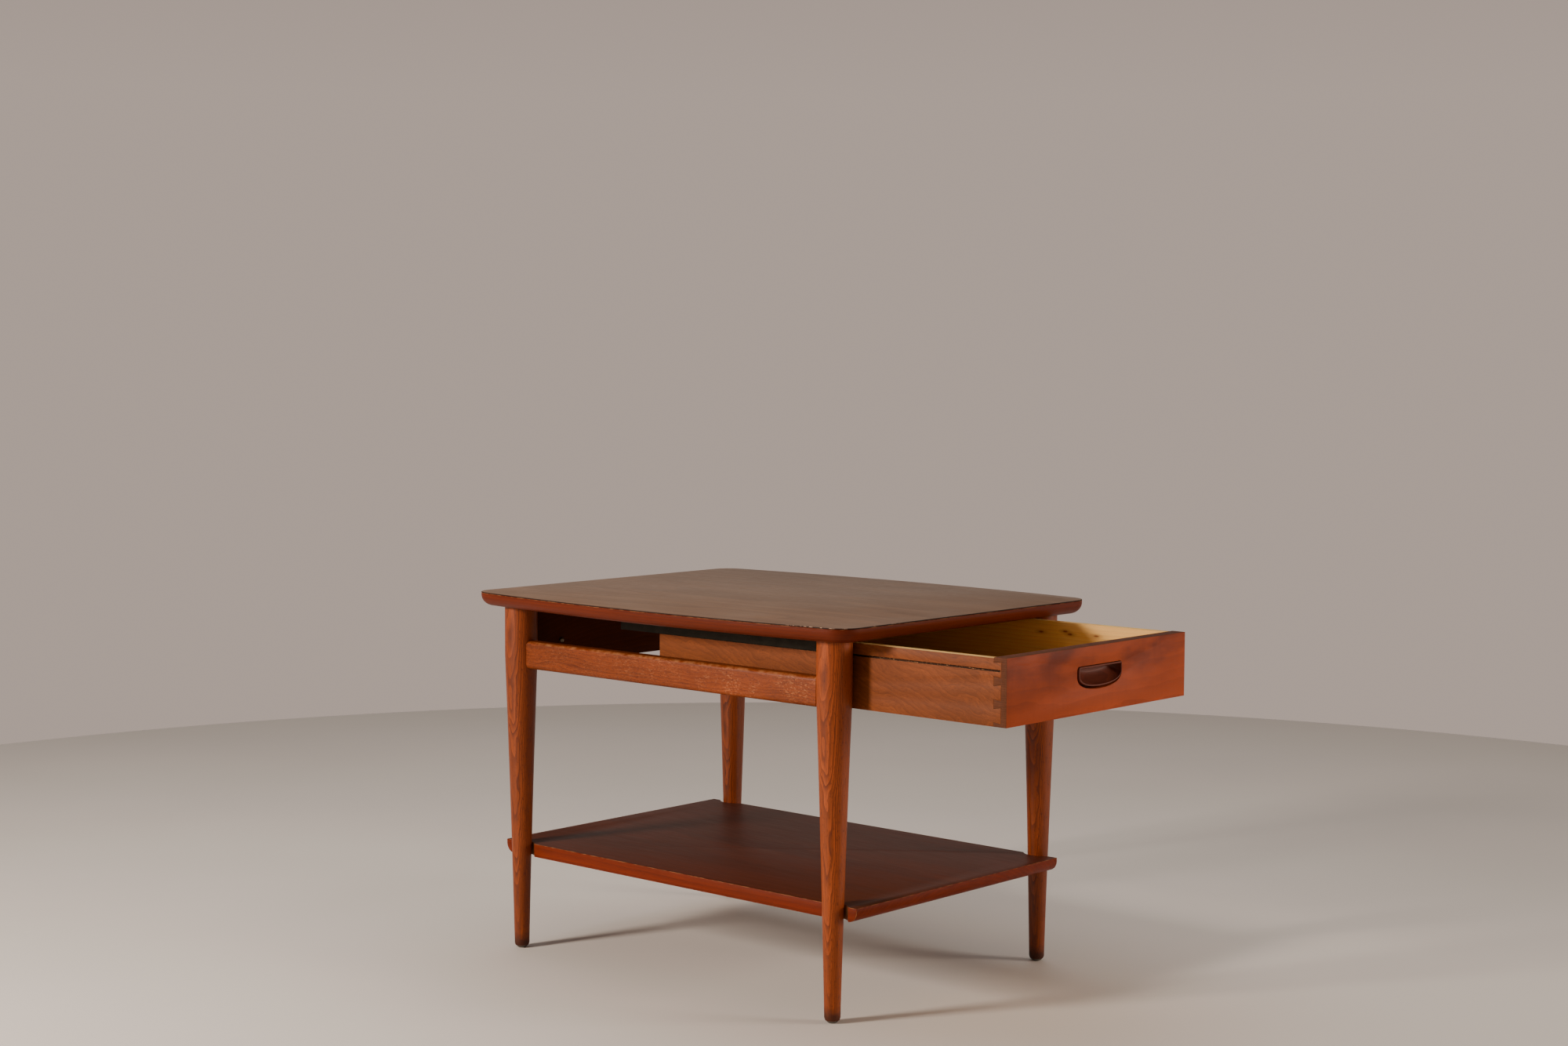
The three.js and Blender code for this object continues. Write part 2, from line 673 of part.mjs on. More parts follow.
function drawerSide(side) {
  const shoulderY = drawerFrontThickness + fitGap;
  const zBottom = [panelRise, panelRise + panelThickness + 2 * fitGap];
  const [inner, outer] = [drawerInnerX, drawerHalfWidth];
  const board = block([side * inner, side * outer], [shoulderY, drawerDepth], [0, drawerSideHeight]);
  const tails = tailShapes(0).map((tail) => acrossSide(tail, side, inner, outer));
  const grooveLow = tongueZ - grooveClearance - drawerBottomZ;
  const grooveHigh = tongueZ + runnerSteel + fitGap - drawerBottomZ;
  const grooveFloor = runnerWebX - runnerTongueWidth - grooveClearance;
  const grooveStart = drawerFrontThickness - tailLength + overcut;
  const pastX = [side * (inner - overcut), side * (outer + overcut)];
  const pastY = drawerDepth + overcut;
  const rabbetY = drawerDepth - drawerBackThickness - fitGap;
  const rabbetZ = [zBottom[0], drawerSideHeight + overcut];
  return carve(weld(board, tails), [
    block([side * grooveFloor, pastX[1]], [grooveStart, pastY], [grooveLow, grooveHigh]),
    block([pastX[0], side * (inner + panelLetIn + fitGap)], [0, pastY], zBottom),
    block([pastX[0], side * (inner + rabbetDepth)], [rabbetY, pastY], rabbetZ),
  ]);
}

function drawerBack() {
  const half = drawerInnerX + rabbetDepth - fitGap;
  const low = panelRise + panelThickness + 3 * fitGap;
  const y = [drawerDepth - drawerBackThickness, drawerDepth];
  return block([-half, half], y, [low, drawerSideHeight - drawerBackDrop]);
}

function drawerBottom() {
  const half = drawerInnerX + panelLetIn;
  const y = [drawerFrontThickness - panelLetIn, drawerDepth - fitGap];
  return block([-half, half], y, [panelRise + fitGap, panelRise + fitGap + panelThickness]);
}

// The hollow of the cup: its walls are quarter-rounds that lean in towards the floor.
function cupBowl() {
  const inset = pullShadowGap + pullRimWidth;
  const bowl = extrudeAlongY(pullOutline(inset), -pullRimProud - overcut, cupDepth, { steps: cupSteps });
  const middleZ = pullRise + pullHeight / 2;
  const places = bowl.attributes.position;
  for (let i = 0; i < places.count; i += 1) {
    const depth = Math.max(places.getY(i), 0) / cupDepth;
    const lean = cupSlope * (1 - Math.sqrt(Math.max(1 - depth ** 2, 0)));
    places.setX(i, places.getX(i) * (1 - lean / (pullWidth / 2 - inset)));
    places.setZ(i, middleZ + (places.getZ(i) - middleZ) * (1 - lean / (pullHeight / 2 - inset)));
  }
  return bowl;
}

// A scooped cup that stands in the front's opening, with a flange screwed on behind.
function drawerPull() {
  const seatY = drawerFrontThickness + fitGap;
  const backY = seatY + pullFlangeThickness;
  const middleZ = pullRise + pullHeight / 2;
  const flange = roundedRectangle(
    pullWidth / 2 + pullFlangeMargin,
    pullHeight / 2 + pullFlangeMargin / 2,
    pullFlangeMargin / 2,
    middleZ,
  );
  const cup = extrudeAlongY(pullOutline(pullShadowGap), -pullRimProud, seatY + overcut);
  const body = weld(cup, [extrudeAlongY(flange, seatY, backY)]);
  const hollowLength = pullWidth - 2 * (pullShadowGap + pullRimWidth + fingerHollowRadius + cupSlope / 2);
  const hollow = new THREE.CapsuleGeometry(fingerHollowRadius, hollowLength - 2 * fingerHollowRadius, 5, 16);
  const hollowZ = pullRise + pullHeight - pullShadowGap - pullRimWidth - fingerHollowRadius;
  hollow.rotateZ(Math.PI / 2).translate(0, cupDepth - fingerHollowRadius, hollowZ);
  const holes = pullScrewPlaces().map(({ x, z }) => {
    const hole = rodAlongZ(screwShankRadius + fitGap, seatY - overcut, backY + overcut);
    return hole.rotateX(-Math.PI / 2).translate(x, 0, z);
  });
  return carve(body, [cupBowl(), hollow, ...holes]);
}

function drawerPieces() {
  const screwY = drawerFrontThickness + pullFlangeThickness + 2 * fitGap;
  const screws = pullScrewPlaces().map(({ x, z }, i) => {
    const geometry = screw(pullScrewShankLength).rotateX(Math.PI / 2);
    return piece(`pull_screw_${i + 1}`, geometry, screwMetal, [x, screwY, z]);
  });
  return [
    piece('drawer_front', drawerFront(), frontWood),
    piece('drawer_side_left', drawerSide(-1), drawerOutsideWood),
    piece('drawer_side_right', drawerSide(1), drawerOutsideWood),
    piece('drawer_back', drawerBack(), drawerPanel),
    piece('drawer_bottom', drawerBottom(), drawerPanel),
    piece('drawer_pull', drawerPull(), pullWood),
    ...screws,
  ];
}

// ---- Assembly ----

const drawer = new THREE.Group();
drawer.position.set(0, drawerClosedY - drawerShownOpening, drawerBottomZ);
drawer.add(...drawerPieces());

// The origin is on the floor, under the middle of the table with its drawer as it stands.
const sideTable = new THREE.Group();
sideTable.position.y = -(drawer.position.y - pullRimProud + topDepth / 2) / 2;
sideTable.add(...topPieces(), ...legPieces(), ...railPieces(), ...shelfPieces(), ...runnerPieces(), drawer);

const model = new THREE.Group();
model.add(sideTable);

export default model;
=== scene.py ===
"""Side table with one drawer: every visible piece and its finish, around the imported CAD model."""

import math

import bmesh
import bpy
from bpy.props import FloatProperty, FloatVectorProperty, IntProperty, PointerProperty
from mathutils import Matrix, Vector


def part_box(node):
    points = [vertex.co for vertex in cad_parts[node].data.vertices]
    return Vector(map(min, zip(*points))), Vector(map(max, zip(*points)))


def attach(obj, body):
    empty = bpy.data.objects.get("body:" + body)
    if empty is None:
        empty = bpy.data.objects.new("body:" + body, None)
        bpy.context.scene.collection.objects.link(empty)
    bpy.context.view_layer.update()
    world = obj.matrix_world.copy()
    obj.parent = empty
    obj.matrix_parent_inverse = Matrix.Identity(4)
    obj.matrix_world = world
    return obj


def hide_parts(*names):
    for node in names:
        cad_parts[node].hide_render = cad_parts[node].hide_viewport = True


bl_info = {
    "name": "Side table with drawer",
    "version": (1, 0, 0),
    "blender": (4, 5, 0),
    "location": "3D View > Sidebar > Side Table",
    "description": "Builds a stained wood side table with a shelf and a dovetailed drawer",
    "category": "Add Mesh",
}

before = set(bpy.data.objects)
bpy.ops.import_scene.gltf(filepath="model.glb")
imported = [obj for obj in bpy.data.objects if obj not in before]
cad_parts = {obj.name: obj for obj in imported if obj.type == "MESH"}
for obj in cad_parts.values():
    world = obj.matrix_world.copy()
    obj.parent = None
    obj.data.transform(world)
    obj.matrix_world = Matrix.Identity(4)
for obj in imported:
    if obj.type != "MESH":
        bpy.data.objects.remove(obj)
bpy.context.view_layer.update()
MM = 0.001
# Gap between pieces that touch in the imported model.
CLEARANCE = 0.3 * MM
# Steps along a leg, a screw or glide, the top's long bows, its corners and the round on its
# edge, the pull's outline, and the floor's rim.
LEG_STEPS = 160
METAL_STEPS = 72
BOW_STEPS = 72
CORNER_STEPS = 16
ROUND_STEPS = 18
CURVE_STEPS = 22
FLOOR_SIDES = 180

ENDS = ("front", "rear")
HANDS = ("left", "right")
CORNERS = [f"{end}_{hand}" for end in ENDS for hand in HANDS]


def linear(code):
    """An sRGB hex colour as the linear red, green and blue that Blender works in."""
    parts = [int(code[i : i + 2], 16) / 255 for i in (1, 3, 5)]
    return tuple(c / 12.92 if c <= 0.04045 else ((c + 0.055) / 1.055) ** 2.4 for c in parts)


def length(name, description, millimetres):
    """A size that is given in millimetres and held in metres."""
    return FloatProperty(
        name=name,
        description=description,
        default=millimetres * MM,
        min=0.0,
        unit="LENGTH",
    )


def colour(name, description, code):
    """A colour that is given as sRGB hex and held as linear."""
    return FloatVectorProperty(
        name=name, description=description, default=linear(code), subtype="COLOR", min=0, max=1
    )


def amount(name, description, value):
    """A strength without a unit."""
    return FloatProperty(name=name, description=description, default=value, min=0.0, subtype="FACTOR")


class TableSizes(bpy.types.PropertyGroup):
    """Sizes that the CAD boxes don't give."""

    edge_bow: length("Edge bow", "How far each long edge of the top curves out", 24)
    corner_radius: length("Corner radius", "Radius of the top's corners in plan", 32)
    under_round_inset: length("Under-round inset", "How far the top's lower edge turns in", 17)
    under_round_height: length("Under-round height", "How far up the top's edge the round goes", 16)
    board_arris: length("Board arris", "Softening of the sawn boards' edges", 0.7)
    rail_radius: length("Rail radius", "Radius of the rails' long edges", 6)
    rail_end_radius: length("Rail end radius", "Softening where a rail meets a leg", 2)
    leg_hollow: length("Leg hollow", "How far the taper sinks in half way down", 0.8)
    taper_rise: length("Taper rise", "Start of the taper above the drawer's lower edge", 20)
    foot_round: length("Foot round", "Rounding at the foot of a leg", 1.1)
    foot_margin: length("Foot margin", "How far a foot reaches past its glide", 2.6)
    glide_shank: length("Glide shank", "Radius of the nail under a glide's head", 1.5)
    pull_rim: length("Pull rim", "Mean width of the lip round the scoop", 2.6)
    pull_rim_bias: length("Pull rim bias", "How much wider the lip is at its left end", 0.6)
    pull_groove: length("Pull groove", "Mean gap between the pull and its opening", 1.9)
    pull_shift: length("Pull shift", "How far the pull sits off the middle of its opening", 1.2)
    pull_flange: length("Pull flange", "How far the plate behind reaches past the pull", 12)
    pull_corner: length("Pull corner", "Radius of the pull's upper corners", 5)
    pull_shoulder: length("Pull shoulder", "Height over which the pull's sides run into its curve", 18)
    scoop_depth: length("Scoop depth", "Depth of the pull's scoop", 14)
    scoop_lean: length("Scoop lean", "How far the scoop's ends lean in", 9)
    scoop_rise: length("Scoop rise", "How far the scoop's lower wall sweeps up", 16)
    screw_slot: length("Screw slot", "Width of the slot in a screw head", 0.9)
    turned_facets: IntProperty(
        name="Turned facets", description="Facets round a turned leg", default=96, min=12, max=256
    )


class TableFinishes(bpy.types.PropertyGroup):
    """Colours of the stains, the bare woods and the laminate."""

    leg_stain: colour("Leg stain", "Orange brown stain on legs and rails", "#9c4715")
    leg_figure: colour("Leg figure", "Dark grain lines in the legs", "#3f1406")
    edge_stain: colour("Edge stain", "Stain on the top's solid edge", "#642309")
    shelf_stain: colour("Shelf stain", "Dark brown stain on the shelf", "#552512")
    shelf_edge_stain: colour("Shelf edge stain", "Red brown stain on the shelf's edges", "#722607")
    front_stain: colour("Drawer front stain", "Red stain on the drawer front", "#a04219")
    side_stain: colour("Drawer side stain", "Thin brown stain outside the drawer", "#8a481f")
    bare_wood: colour("Bare wood", "Pale wood inside the drawer", "#ffc974")
    laminate: colour("Laminate", "Grey brown wood print of the top", "#84644c")
    scoop_wood: colour("Pull wood", "Dark walnut of the pull", "#602817")
    worn_wood: colour("Worn wood", "Pale wood where the stain has rubbed through", "#d39a66")
    dull_steel: colour("Dull steel", "Zinc-plated runners gone dull", "#2e2b26")
    wear: amount("Wear", "How much stain has rubbed off the edges", 0.55)


# ---- Meshes ----


def loft(rings, arris=(), mesh=None):
    """A closed skin through rings of equal count, with level ends. UV: run along and across, in metres."""
    mesh = mesh or bmesh.new()
    uv = mesh.loops.layers.uv.get("Run") or mesh.loops.layers.uv.new("Run")
    worn = mesh.loops.layers.float.get("arris") or mesh.loops.layers.float.new("arris")
    count = len(rings[0])
    verts = [[mesh.verts.new(p) for p in ring] for ring in rings]
    around = [0.0]
    for i in range(count):
        around.append(around[-1] + (rings[0][(i + 1) % count] - rings[0][i]).length)
    across = [0.0]
    for a, b in zip(rings, rings[1:]):
        across.append(across[-1] + (b[0] - a[0]).length)
    for j, (low, high) in enumerate(zip(verts, verts[1:])):
        for i in range(count):
            k = (i + 1) % count
            face = mesh.faces.new((low[i], low[k], high[k], high[i]))
            places = ((i, j), (i + 1, j), (i + 1, j + 1), (i, j + 1))
            for loop, (u, v) in zip(face.loops, places):
                loop[uv].uv = (around[u], across[v])
                loop[worn] = 1.0 if j in arris else 0.0
    mesh.faces.new(verts[0][::-1])
    mesh.faces.new(verts[-1])
    bmesh.ops.recalc_face_normals(mesh, faces=mesh.faces)
    return mesh


def softened(node, arris, keep_below=25.0):
    """A merged copy of a CAD node with its sharp edges softened; the softened strips are marked as arris."""
    mesh = bmesh.new()
    mesh.from_mesh(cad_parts[node].data)
    bmesh.ops.remove_doubles(mesh, verts=mesh.verts, dist=2e-6)
    flat = math.radians(0.6)
    bmesh.ops.dissolve_limit(mesh, angle_limit=flat, verts=mesh.verts, edges=mesh.edges)
    limit = math.radians(keep_below)
    edges = [e for e in mesh.edges if len(e.link_faces) == 2 and e.calc_face_angle() > limit]
    made = bmesh.ops.bevel(
        mesh,
        geom=edges,
        offset=arris,
        offset_type="OFFSET",
        segments=2,
        profile=0.5,
        affect="EDGES",
        clamp_overlap=True,
    )
    worn = mesh.loops.layers.float.new("arris")
    for face in made["faces"]:
        for loop in face.loops:
            loop[worn] = 1.0
    # Where two softened edges meet in a narrow place, their strips close up to nothing.
    bmesh.ops.remove_doubles(mesh, verts=mesh.verts, dist=1e-5)
    bmesh.ops.dissolve_degenerate(mesh, dist=1e-5, edges=mesh.edges)
    # The clean-up leaves the order of the faces to chance, so it is settled here.
    placed = sorted(mesh.faces, key=lambda face: tuple(face.calc_center_median()))
    rank = {face: i for i, face in enumerate(placed)}
    mesh.faces.sort(key=lambda face: rank[face])
    return mesh


def piece(name, mesh, materials, body, nodes, choose=None, sharp=38.0):
    """An object of a finished bmesh or mesh, riding on a body in place of CAD nodes."""
    if isinstance(mesh, bmesh.types.BMesh):
        data = bpy.data.meshes.new(name)
        mesh.to_mesh(data)
        mesh.free()
    else:
        data = mesh
        data.name = name
    data.materials.clear()
    for material in materials:
        data.materials.append(material)
    data.polygons.foreach_set("use_smooth", [True] * len(data.polygons))
    data.set_sharp_from_angle(angle=math.radians(sharp))
    if choose:
        for face in data.polygons:
            face.material_index = choose(face.normal, face.center)
    made = bpy.data.objects.new(name, data)
    bpy.context.scene.collection.objects.link(made)
    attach(made, body)
    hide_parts(*nodes)
    return made


def smooth(share):
    """A share from 0 to 1 that starts and ends gently."""
    share = min(max(share, 0.0), 1.0)
    return share * share * (3 - 2 * share)


def middle(node):
    """The middle of a CAD node's box."""
    low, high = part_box(node)
    return (low + high) / 2


# ---- Node trees ----


def add_node(tree, kind, inputs=(), **settings):
    """One node with its settings. Inputs go by name or in order; each is a value, a node or a socket."""
    made = tree.nodes.new(kind)
    for name, value in settings.items():
        setattr(made, name, value)
    named = inputs if isinstance(inputs, dict) else dict(enumerate(inputs))
    for key, value in named.items():
        if isinstance(key, int):
            spot = made.inputs[key]
        else:
            spot = next(s for s in made.inputs if s.enabled and s.name == key)
        if isinstance(value, bpy.types.Node):
            value = next(s for s in value.outputs if s.enabled)
        if isinstance(value, bpy.types.NodeSocket):
            tree.links.new(value, spot)
        elif spot.type == "RGBA":
            spot.default_value = (*value, 1.0)
        else:
            spot.default_value = value
    return made


def socket(tree, name, kind, side="INPUT", value=None):
    """A named input or output of a node group."""
    made = tree.interface.new_socket(name, in_out=side, socket_type=kind)
    if value is not None:
        made.default_value = value
    return made


# ---- Turned work and screws, as Geometry Nodes ----


def turned_leg_tree():
    """Round legs on points: a straight axis swept with a radius worked out from the height."""
    tree = bpy.data.node_groups.new("Turned legs", "GeometryNodeTree")
    socket(tree, "Leg axes", "NodeSocketGeometry")
    socket(tree, "Foot height", "NodeSocketFloat", value=0.0038)
    socket(tree, "Leg height", "NodeSocketFloat", value=0.4997)
    socket(tree, "Taper start", "NodeSocketFloat", value=0.429)
    socket(tree, "Foot radius", "NodeSocketFloat", value=0.0106)
    socket(tree, "Top radius", "NodeSocketFloat", value=0.0235)
    socket(tree, "Hollow", "NodeSocketFloat", value=0.0008)
    socket(tree, "Foot round", "NodeSocketFloat", value=0.0018)
    socket(tree, "Facets", "NodeSocketInt", value=96)
    socket(tree, "Finish", "NodeSocketMaterial")
    socket(tree, "Legs", "NodeSocketGeometry", "OUTPUT")
    given = add_node(tree, "NodeGroupInput").outputs
    foot = add_node(tree, "ShaderNodeCombineXYZ", {"Z": given["Foot height"]})
    head = add_node(tree, "ShaderNodeCombineXYZ", {"Z": given["Leg height"]})
    line = add_node(tree, "GeometryNodeCurvePrimitiveLine", {"Start": foot, "End": head})
    axis = add_node(tree, "GeometryNodeResampleCurve", {"Curve": line, "Count": LEG_STEPS})
    place = add_node(tree, "GeometryNodeInputPosition")
    height = add_node(tree, "ShaderNodeSeparateXYZ", {"Vector": place}).outputs["Z"]
    climb = add_node(tree, "ShaderNodeMath", (height, given["Foot height"]), operation="SUBTRACT")
    run = add_node(
        tree, "ShaderNodeMath", (given["Taper start"], given["Foot height"]), operation="SUBTRACT"
    )
    share = add_node(tree, "ShaderNodeMath", (climb, run), operation="DIVIDE", use_clamp=True)
    span = add_node(
        tree, "ShaderNodeMath", (given["Top radius"], given["Foot radius"]), operation="SUBTRACT"
    )
    straight = add_node(
        tree, "ShaderNodeMath", (share, span, given["Foot radius"]), operation="MULTIPLY_ADD"
    )
    rest = add_node(tree, "ShaderNodeMath", (1.0, share), operation="SUBTRACT")
    arch = add_node(tree, "ShaderNodeMath", (share, rest), operation="MULTIPLY")
    full_arch = add_node(tree, "ShaderNodeMath", (arch, 4.0), operation="MULTIPLY")
    sunk = add_node(tree, "ShaderNodeMath", (full_arch, given["Hollow"]), operation="MULTIPLY")
    taper = add_node(tree, "ShaderNodeMath", (straight, sunk), operation="SUBTRACT")
    # The foot is rounded off over its last millimetres by a quarter circle.
    near = add_node(
        tree, "ShaderNodeMath", (climb, given["Foot round"]), operation="DIVIDE", use_clamp=True
    )
    drop = add_node(tree, "ShaderNodeMath", (1.0, near), operation="SUBTRACT")
    squared = add_node(tree, "ShaderNodeMath", (drop, 2.0), operation="POWER")
    left = add_node(tree, "ShaderNodeMath", (1.0, squared), operation="SUBTRACT")
    reach = add_node(tree, "ShaderNodeMath", (left,), operation="SQRT")
    turn = add_node(tree, "ShaderNodeMath", (1.0, reach), operation="SUBTRACT")
    rounding = add_node(tree, "ShaderNodeMath", (turn, given["Foot round"]), operation="MULTIPLY")
    radius = add_node(tree, "ShaderNodeMath", (taper, rounding), operation="SUBTRACT")
    circle = add_node(
        tree, "GeometryNodeCurvePrimitiveCircle", {"Resolution": given["Facets"], "Radius": 1.0}
    )
    swept = add_node(
        tree,
        "GeometryNodeCurveToMesh",
        {"Curve": axis, "Profile Curve": circle, "Scale": radius, "Fill Caps": True},
    )
    # The grain is cut per leg, so each mesh keeps its own coordinates from before it is placed.
    kept = add_node(
        tree,
        "GeometryNodeStoreNamedAttribute",
        {"Geometry": swept, "Name": "stock", "Value": place},
        data_type="FLOAT_VECTOR",
        domain="POINT",
    )
    placed = add_node(tree, "GeometryNodeInstanceOnPoints", {"Points": given["Leg axes"], "Instance": kept})
    chance = add_node(
        tree,
        "FunctionNodeRandomValue",
        {"Min": (-0.4, -0.4, -0.4), "Max": (0.4, 0.4, 0.4), "Seed": 11},
        data_type="FLOAT_VECTOR",
    )
    shifted = add_node(
        tree,
        "GeometryNodeStoreNamedAttribute",
        {"Geometry": placed, "Name": "stock_shift", "Value": chance},
        data_type="FLOAT_VECTOR",
        domain="INSTANCE",
    )
    real = add_node(tree, "GeometryNodeRealizeInstances", {"Geometry": shifted})
    done = add_node(tree, "GeometryNodeSetMaterial", {"Geometry": real, "Material": given["Finish"]})
    add_node(tree, "NodeGroupOutput", {"Legs": done})
    return tree


def small_metal_tree():
    """Slotted screws or nail-on glides on points: a turned head on a shank, with an optional slot."""
    name = "Small turned metal"
    if name in bpy.data.node_groups:
        return bpy.data.node_groups[name]
    tree = bpy.data.node_groups.new(name, "GeometryNodeTree")
    socket(tree, "Points", "NodeSocketGeometry")
    socket(tree, "Direction", "NodeSocketVector", value=(0, 0, 1))
    socket(tree, "Length", "NodeSocketFloat", value=0.015)
    socket(tree, "Head radius", "NodeSocketFloat", value=0.0036)
    socket(tree, "Head height", "NodeSocketFloat", value=0.002)
    socket(tree, "Shank radius", "NodeSocketFloat", value=0.0017)
    socket(tree, "Point length", "NodeSocketFloat", value=0.003)
    socket(tree, "Slot width", "NodeSocketFloat", value=0.0009)
    socket(tree, "Finish", "NodeSocketMaterial")
    socket(tree, "Metal", "NodeSocketGeometry", "OUTPUT")
    given = add_node(tree, "NodeGroupInput").outputs
    tip = add_node(tree, "ShaderNodeCombineXYZ", {"Z": given["Length"]})
    line = add_node(tree, "GeometryNodeCurvePrimitiveLine", {"End": tip})
    axis = add_node(tree, "GeometryNodeResampleCurve", {"Curve": line, "Count": METAL_STEPS})
    place = add_node(tree, "GeometryNodeInputPosition")
    along = add_node(tree, "ShaderNodeSeparateXYZ", {"Vector": place}).outputs["Z"]
    rise = add_node(
        tree, "ShaderNodeMath", (along, given["Head height"]), operation="DIVIDE", use_clamp=True
    )
    drop = add_node(tree, "ShaderNodeMath", (1.0, rise), operation="SUBTRACT")
    squared = add_node(tree, "ShaderNodeMath", (drop, 2.0), operation="POWER")
    bulge = add_node(tree, "ShaderNodeMath", (squared, -0.64, 1.0), operation="MULTIPLY_ADD")
    dome = add_node(tree, "ShaderNodeMath", (bulge,), operation="SQRT")
    head = add_node(tree, "ShaderNodeMath", (dome, given["Head radius"]), operation="MULTIPLY")
    left = add_node(tree, "ShaderNodeMath", (given["Length"], along), operation="SUBTRACT")
    sharpening = add_node(
        tree, "ShaderNodeMath", (left, given["Point length"]), operation="DIVIDE", use_clamp=True
    )
    shank = add_node(tree, "ShaderNodeMath", (sharpening, given["Shank radius"]), operation="MULTIPLY")
    in_head = add_node(tree, "ShaderNodeMath", (along, given["Head height"]), operation="LESS_THAN")
    larger = add_node(tree, "ShaderNodeMath", (in_head, head), operation="MULTIPLY")
    outline = add_node(tree, "ShaderNodeMath", (larger, shank), operation="MAXIMUM")
    radius = add_node(tree, "ShaderNodeMath", (outline, 0.00005), operation="MAXIMUM")
    circle = add_node(tree, "GeometryNodeCurvePrimitiveCircle", {"Resolution": 24, "Radius": 1.0})
    swept = add_node(
        tree,
        "GeometryNodeCurveToMesh",
        {"Curve": axis, "Profile Curve": circle, "Scale": radius, "Fill Caps": True},
    )
    wide = add_node(tree, "ShaderNodeMath", (given["Head radius"], 2.4), operation="MULTIPLY")
    cutter_size = add_node(
        tree,
        "ShaderNodeCombineXYZ",
        {"X": wide, "Y": given["Slot width"], "Z": given["Head height"]},
    )
    cutter = add_node(tree, "GeometryNodeMeshCube", {"Size": cutter_size})
    slotted = add_node(
        tree, "GeometryNodeMeshBoolean", {"Mesh 1": swept, "Mesh 2": cutter}, operation="DIFFERENCE"
    )
    plain = add_node(
        tree, "FunctionNodeCompare", {"A": given["Slot width"], "B": 0.00001}, operation="LESS_THAN"
    )
    chosen = add_node(
        tree,
        "GeometryNodeSwitch",
        {"Switch": plain, "False": slotted, "True": swept},
        input_type="GEOMETRY",
    )
    # Each head is turned on its own axis, as screws stop where they bite.
    spin = add_node(
        tree,
        "FunctionNodeRandomValue",
        {"Min": (0.0, 0.0, 0.0), "Max": (0.0, 0.0, math.pi), "Seed": 5},
        data_type="FLOAT_VECTOR",
    )
    stood = add_node(tree, "FunctionNodeAlignRotationToVector", {"Vector": given["Direction"]}, axis="Z")
    turned = add_node(
        tree, "FunctionNodeRotateRotation", {"Rotation": stood, "Rotate By": spin}, rotation_space="LOCAL"
    )
    placed = add_node(
        tree,
        "GeometryNodeInstanceOnPoints",
        {"Points": given["Points"], "Instance": chosen, "Rotation": turned},
    )
    real = add_node(tree, "GeometryNodeRealizeInstances", {"Geometry": placed})
    done = add_node(tree, "GeometryNodeSetMaterial", {"Geometry": real, "Material": given["Finish"]})
    add_node(tree, "NodeGroupOutput", {"Metal": done})
    return tree


def grown(tree, points, values, leg_darkenings=None):
    """The plain mesh that a tree makes on points; values are its inputs by name."""
    seeds = bpy.data.meshes.new("seeds")
    seeds.from_pydata(points, [], [])
    if leg_darkenings:
        seeds.attributes.new("leg_darkening", "FLOAT", "POINT").data.foreach_set("value", leg_darkenings)
    host = bpy.data.objects.new("seeds", seeds)
    bpy.context.scene.collection.objects.link(host)
    modifier = host.modifiers.new("Tree", "NODES")
    modifier.node_group = tree
    for item in tree.interface.items_tree:
        if item.item_type == "SOCKET" and item.in_out == "INPUT" and item.name in values:
            modifier[item.identifier] = values[item.name]
    depsgraph = bpy.context.evaluated_depsgraph_get()
    made = bpy.data.meshes.new_from_object(
        host.evaluated_get(depsgraph), preserve_all_data_layers=True, depsgraph=depsgraph
    )
    bpy.data.objects.remove(host)
    return made


# ---- Finishes ----


